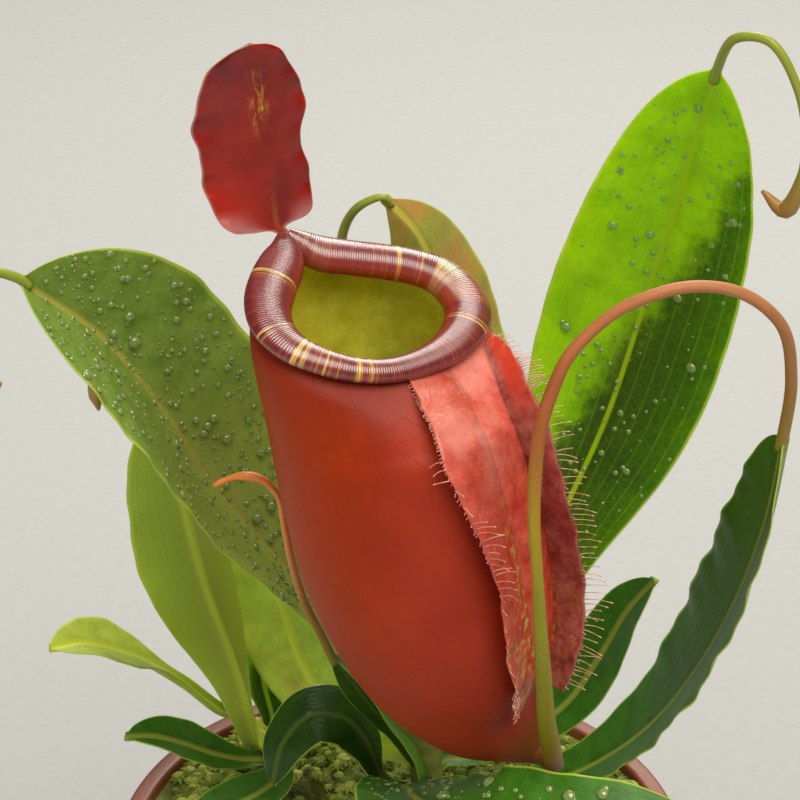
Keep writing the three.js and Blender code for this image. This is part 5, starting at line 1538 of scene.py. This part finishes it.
SPEAR_RADII = [[0, 2.6], [0.35, 3.4], [0.8, 2], [0.97, 0.8], [1, 0.4]]
spear = tube_skin("rolled_leaf", spear_points, SPEAR_RADII, 110, 40, rolled)
SPEAR_TISSUE = wiry_tissue(
    "Leaf_Tissue_Rolled", [(0, "#7c8a2c"), (0.5, "#98a63a"), (1, "#b0904a")], "#6a7a24", shine=0.38
)
show("rolled_leaf", spear, [SPEAR_TISSUE], ["leaf_spear"])

# %% The young pitcher
x, y, z = TENDRILS["tendril_back"]["path"][-1]
bud_points = np.array([x, y, z]) + [
    [0, 0, 1], [0.6, 0.8, -3], [1.5, 2, -8], [3, 5, -18], [2, 8, -26], [-1, 9, -32],
]


def ridged(s, turn):
    """Two ridges down the front, and a fine seam where the closed lid will open."""
    ridges = sum(np.exp(-(((turn - at + np.pi) % (2 * np.pi) - np.pi) / 0.16) ** 2) for at in (1.2, 1.95))
    seam = np.exp(-(((s - 0.84 - 0.04 * np.cos(turn)) / 0.012) ** 2))
    return (1 + 0.2 * ridges * smoothstep(s, 0.1, 0.35) * (1 - smoothstep(s, 0.7, 0.82))) * (1 - 0.1 * seam)


BUD_RADII = [[0, 1.3], [0.12, 1.5], [0.3, 3.2], [0.6, 4.9], [0.8, 4.5], [0.9, 3.6], [0.97, 1.9], [1, 0.6]]
bud = tube_skin("young_bud", bud_points, BUD_RADII, 100, 40, ridged)
BUD_TISSUE = wiry_tissue(
    "Young_Pitcher_Tissue", [(0, "#98a23a"), (0.3, "#b0883a"), (0.7, "#a8542c"), (1, "#8a3a26")], "#7c2c1c"
)
show("young_bud", bud, [BUD_TISSUE], ["young_pitcher"])

# %% [markdown]
# ## Pot and moss
#
# The picture stops above the pot, so this one is plain: a thin-walled moulded pot with a band at its
# rim and drain holes in its bottom. It is one profile turned round the axis, with its corners rounded
# by short arcs, and a Boolean modifier cuts the holes. The moss is a bumpy mound inside it, and about
# a thousand small star-shaped heads on the mound make its surface soft.

# %% The pot
POT_HEIGHT, POT_TOP, POT_BASE, POT_WALL = 104, 70, 52, 2
RIM_BAND, RIM_PROUD = 14, 2.5
POT_SIDES = 192
CORNER_RADIUS = 1.1
DRAIN_HOLES, DRAIN_RADIUS, DRAIN_CIRCLE = 6, 4, 36


def rounded(profile, radius, steps=5):
    """The profile with each corner replaced by a short curve, at most as long as the straight runs allow."""
    points = np.array(profile, float)
    rows = [points[:1]]
    for before, here, after in zip(points[:-2], points[1:-1], points[2:]):
        reach = min(radius, 0.45 * np.linalg.norm(before - here), 0.45 * np.linalg.norm(after - here))
        a, b = here + unit(before - here) * reach, here + unit(after - here) * reach
        t = np.linspace(0, 1, steps)[:, None]
        rows.append((1 - t) ** 2 * a + 2 * t * (1 - t) * here + t**2 * b)
    return np.concatenate([*rows, points[-1:]])


band, band_reach = POT_HEIGHT - RIM_BAND, POT_TOP + RIM_PROUD
pot_profile = rounded([
    [1, 1.2], [POT_BASE - 7, 1.2], [POT_BASE - 6, 0], [POT_BASE, 0], [POT_TOP - 1, band - 0.5],
    [band_reach, band], [band_reach, POT_HEIGHT - 3], [band_reach + 0.3, POT_HEIGHT - 2.5],
    [band_reach + 0.3, POT_HEIGHT], [POT_TOP - POT_WALL, POT_HEIGHT], [POT_BASE - POT_WALL, POT_WALL + 0.9],
    [1, POT_WALL + 0.9],
], CORNER_RADIUS)


def turned(profile, count):
    """Rings round the vertical axis, one for each point of a profile of radius and height."""
    angle = np.linspace(0, 2 * np.pi, count, endpoint=False)
    reach, height = np.asarray(profile, float).T[:, :, None]
    return np.stack([reach * np.cos(angle), reach * np.sin(angle), height + 0 * angle], axis=2)


pot_mesh = skin("pot_turned", turned(pot_profile, POT_SIDES))
blank = bpy.data.objects.new("pot_turned", pot_mesh)
bpy.context.scene.collection.objects.link(blank)
for k in range(DRAIN_HOLES):
    angle = 2 * np.pi * k / DRAIN_HOLES
    centre = [DRAIN_CIRCLE * np.cos(angle), DRAIN_CIRCLE * np.sin(angle), 0]
    drill_rings = turned([[DRAIN_RADIUS, -4], [DRAIN_RADIUS, 8]], 32) + centre
    drill = bpy.data.objects.new("drill", skin("drill", drill_rings))
    bpy.context.scene.collection.objects.link(drill)
    cut = blank.modifiers.new("drain_hole", "BOOLEAN")
    cut.object, cut.operation, cut.solver = drill, "DIFFERENCE", "EXACT"
drilled = bpy.data.meshes.new_from_object(blank.evaluated_get(bpy.context.evaluated_depsgraph_get()))
drilled.name = "round_pot"
for spent in [blank, *[o for o in bpy.context.scene.objects if o.name.startswith("drill")]]:
    bpy.data.objects.remove(spent)


def pot_paint(tree):
    """Moulded polypropylene, earth red: a fine leathery texture and a trace of limescale at the base."""
    place = add_node(tree, "TexCoord").outputs["Object"]
    height = add_node(tree, "SeparateXYZ", {0: place}).outputs["Z"]
    cloud = add_node(tree, "TexNoise", {"Vector": place, "Scale": 22, "Detail": 5})
    colour = add_node(tree, "ValToRGB", {"Fac": cloud}, [(0.3, "#7c4029"), (0.7, "#915037")])
    scale = add_node(tree, "TexNoise", {"Vector": place, "Scale": 60, "Detail": 6, "Roughness": 0.7})
    low = add_node(tree, "MapRange", {0: height, 1: 0.03, 2: 0, 3: 0, 4: 1}, **S_CURVE)
    chalk = add_node(tree, "MapRange", {0: scale, 1: 0.5, 2: 0.7, 3: 0, 4: 0.35})
    amount = add_node(tree, "Math", {0: low, 1: chalk}, operation="MULTIPLY")
    colour = add_node(tree, "Mix", {0: amount, 6: colour, 7: "#b99a88"}, data_type="RGBA")
    leathery = add_node(tree, "TexVoronoi", {"Vector": place, "Scale": 1100}, feature="SMOOTH_F1")
    bump = add_node(tree, "Bump", {"Strength": 0.18, "Distance": 0.0003, "Height": leathery})
    rough = add_node(tree, "MapRange", {0: cloud, 1: 0.3, 2: 0.7, 3: 0.42, 4: 0.56})
    return {"Base Color": colour, "Roughness": rough, "Normal": bump}


POT_PLASTIC = material_of("Polypropylene_Moulded_Earth_Red", pot_paint, IOR=1.49)
show("round_pot", drilled, [POT_PLASTIC], ["pot"])
drilled.set_sharp_from_angle(angle=np.radians(40))

# %% The moss mound
MOSS_EDGE = POT_TOP - POT_WALL - 0.6
MOSS_RISE, MOSS_BELOW_RIM = 7, 1.5
MOSS_ROWS, MOSS_SIDES = 90, 200
bumps = np.random.default_rng(8)
bump_ways = bumps.normal(0, 1, (26, 2)) * np.repeat([0.25, 0.7], 13)[:, None]
bump_phases = bumps.uniform(0, 2 * np.pi, 26)
bump_heights = np.repeat([0.55, 0.22], 13)


def moss_height(x, y):
    """The mound's height: a low dome with bumps, which are sums of waves in random directions."""
    reach = np.hypot(x, y) / MOSS_EDGE
    phase = x[..., None] * bump_ways[:, 0] + y[..., None] * bump_ways[:, 1] + bump_phases
    waves = (np.sin(phase) * bump_heights).sum(axis=-1)
    rise = MOSS_RISE * (1 - reach**2) + waves * smoothstep(1 - reach, 0, 0.08)
    return POT_HEIGHT - MOSS_BELOW_RIM - 1 + rise


dome = turned(np.column_stack([np.linspace(0.8, MOSS_EDGE, MOSS_ROWS), np.zeros(MOSS_ROWS)]), MOSS_SIDES)
dome[..., 2] = moss_height(dome[..., 0], dome[..., 1])
floor_z = POT_WALL + 1.3
wall = turned([[POT_BASE + 14.5, 80], [POT_BASE - 2.8, floor_z], [1, floor_z]], MOSS_SIDES)
moss_mesh = skin("moss_bed", np.concatenate([dome, wall]))


def moss_paint(tree):
    """Damp peat moss: yellow-green heads over brown, each head with its own tint."""
    place = add_node(tree, "TexCoord").outputs["Object"]
    tint = add_node(tree, "Attribute", attribute_name="tint").outputs["Fac"]
    cloud = add_node(tree, "TexNoise", {"Vector": place, "Scale": 45, "Detail": 5, "Roughness": 0.7})
    mixed = add_node(tree, "Math", {0: tint, 1: 0.55, 2: cloud}, operation="MULTIPLY_ADD")
    greens = [(0.35, "#4a4a1a"), (0.6, "#72802a"), (0.8, "#95a23c"), (1, "#b8b85a")]
    colour = add_node(tree, "ValToRGB", {"Fac": mixed}, greens)
    fine = add_node(tree, "TexNoise", {"Vector": place, "Scale": 1200, "Detail": 3})
    bump = add_node(tree, "Bump", {"Strength": 0.7, "Distance": 0.0008, "Height": fine})
    return {"Base Color": colour, "Normal": bump}


MOSS = material_of("Peat_Moss_Damp", moss_paint, Roughness=0.8, IOR=1.4, Subsurface_Weight=0.15,
                   Subsurface_Radius=(0.7, 1.0, 0.3), Subsurface_Scale=0.002)
show("moss_bed", moss_mesh, [MOSS], ["growing_medium"])

# %% The moss heads
HEADS = 1250
HEAD_LEAFLETS = 8
leaflet = 2 * np.pi * np.arange(HEAD_LEAFLETS) / HEAD_LEAFLETS
between = leaflet + np.pi / HEAD_LEAFLETS


def circle(angle, reach, height):
    """Points on a level circle."""
    return np.column_stack([reach * np.cos(angle), reach * np.sin(angle), np.full_like(angle, height)])


crowns, tips = circle(leaflet, 0.4, 0.85), circle(leaflet, 1, 0.25)
notches = circle(between, 0.5, 0.4)
head_shape = np.concatenate([[[0, 0, 1]], crowns, tips, notches, [[0, 0, -0.5]]])
head_faces = []
for k in range(HEAD_LEAFLETS):
    after = (k + 1) % HEAD_LEAFLETS
    crown, next_crown = 1 + k, 1 + after
    tip, next_tip, notch = 1 + HEAD_LEAFLETS + k, 1 + HEAD_LEAFLETS + after, 1 + 2 * HEAD_LEAFLETS + k
    low = len(head_shape) - 1
    head_faces += [
        (0, crown, next_crown), (crown, tip, notch), (crown, notch, next_crown),
        (next_crown, notch, next_tip), (low, notch, tip), (low, next_tip, notch)
    ]
chance = np.random.default_rng(21)
reach = (MOSS_EDGE - 1.5) * np.sqrt(chance.uniform(0, 1, HEADS))
turn = chance.uniform(0, 2 * np.pi, HEADS)
x, y = reach * np.cos(turn), reach * np.sin(turn)
clear = np.ones(HEADS, bool)
for stem in (MAIN_STEM, SIDE_STEM):
    clear &= np.hypot(x - stem["foot"][0], y - stem["foot"][1]) > stem["radii"][0] + 1.5
x, y = x[clear], y[clear]
places = np.stack([x, y, moss_height(x, y) - 0.2], axis=1)
spin = chance.uniform(0, 2 * np.pi, len(places))
lean = chance.normal(0, 0.22, (len(places), 2))
upright = unit(np.column_stack([lean, np.ones(len(places))]))
first = unit(np.cross(np.column_stack([-np.sin(spin), np.cos(spin), np.zeros(len(spin))]), upright))
size = chance.uniform(1.7, 3.2, len(places))
axes = np.stack([first, np.cross(upright, first), upright * 0.75], axis=2) * size[:, None, None]
tints = chance.uniform(0, 1, len(places))
heads = copies("moss_heads", head_shape, head_faces, places, axes, {"tint": tints})
show("moss_heads", heads, [MOSS], smooth=False)
print(len(places), "moss heads")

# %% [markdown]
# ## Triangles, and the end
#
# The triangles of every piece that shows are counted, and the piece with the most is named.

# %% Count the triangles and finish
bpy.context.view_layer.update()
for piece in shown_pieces():
    piece.data.calc_loop_triangles()
faces = {piece.name: len(piece.data.loop_triangles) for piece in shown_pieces()}
print(sum(faces.values()), "triangles in", len(faces), "pieces")
print("the most in", max(faces, key=faces.get), max(faces.values()))
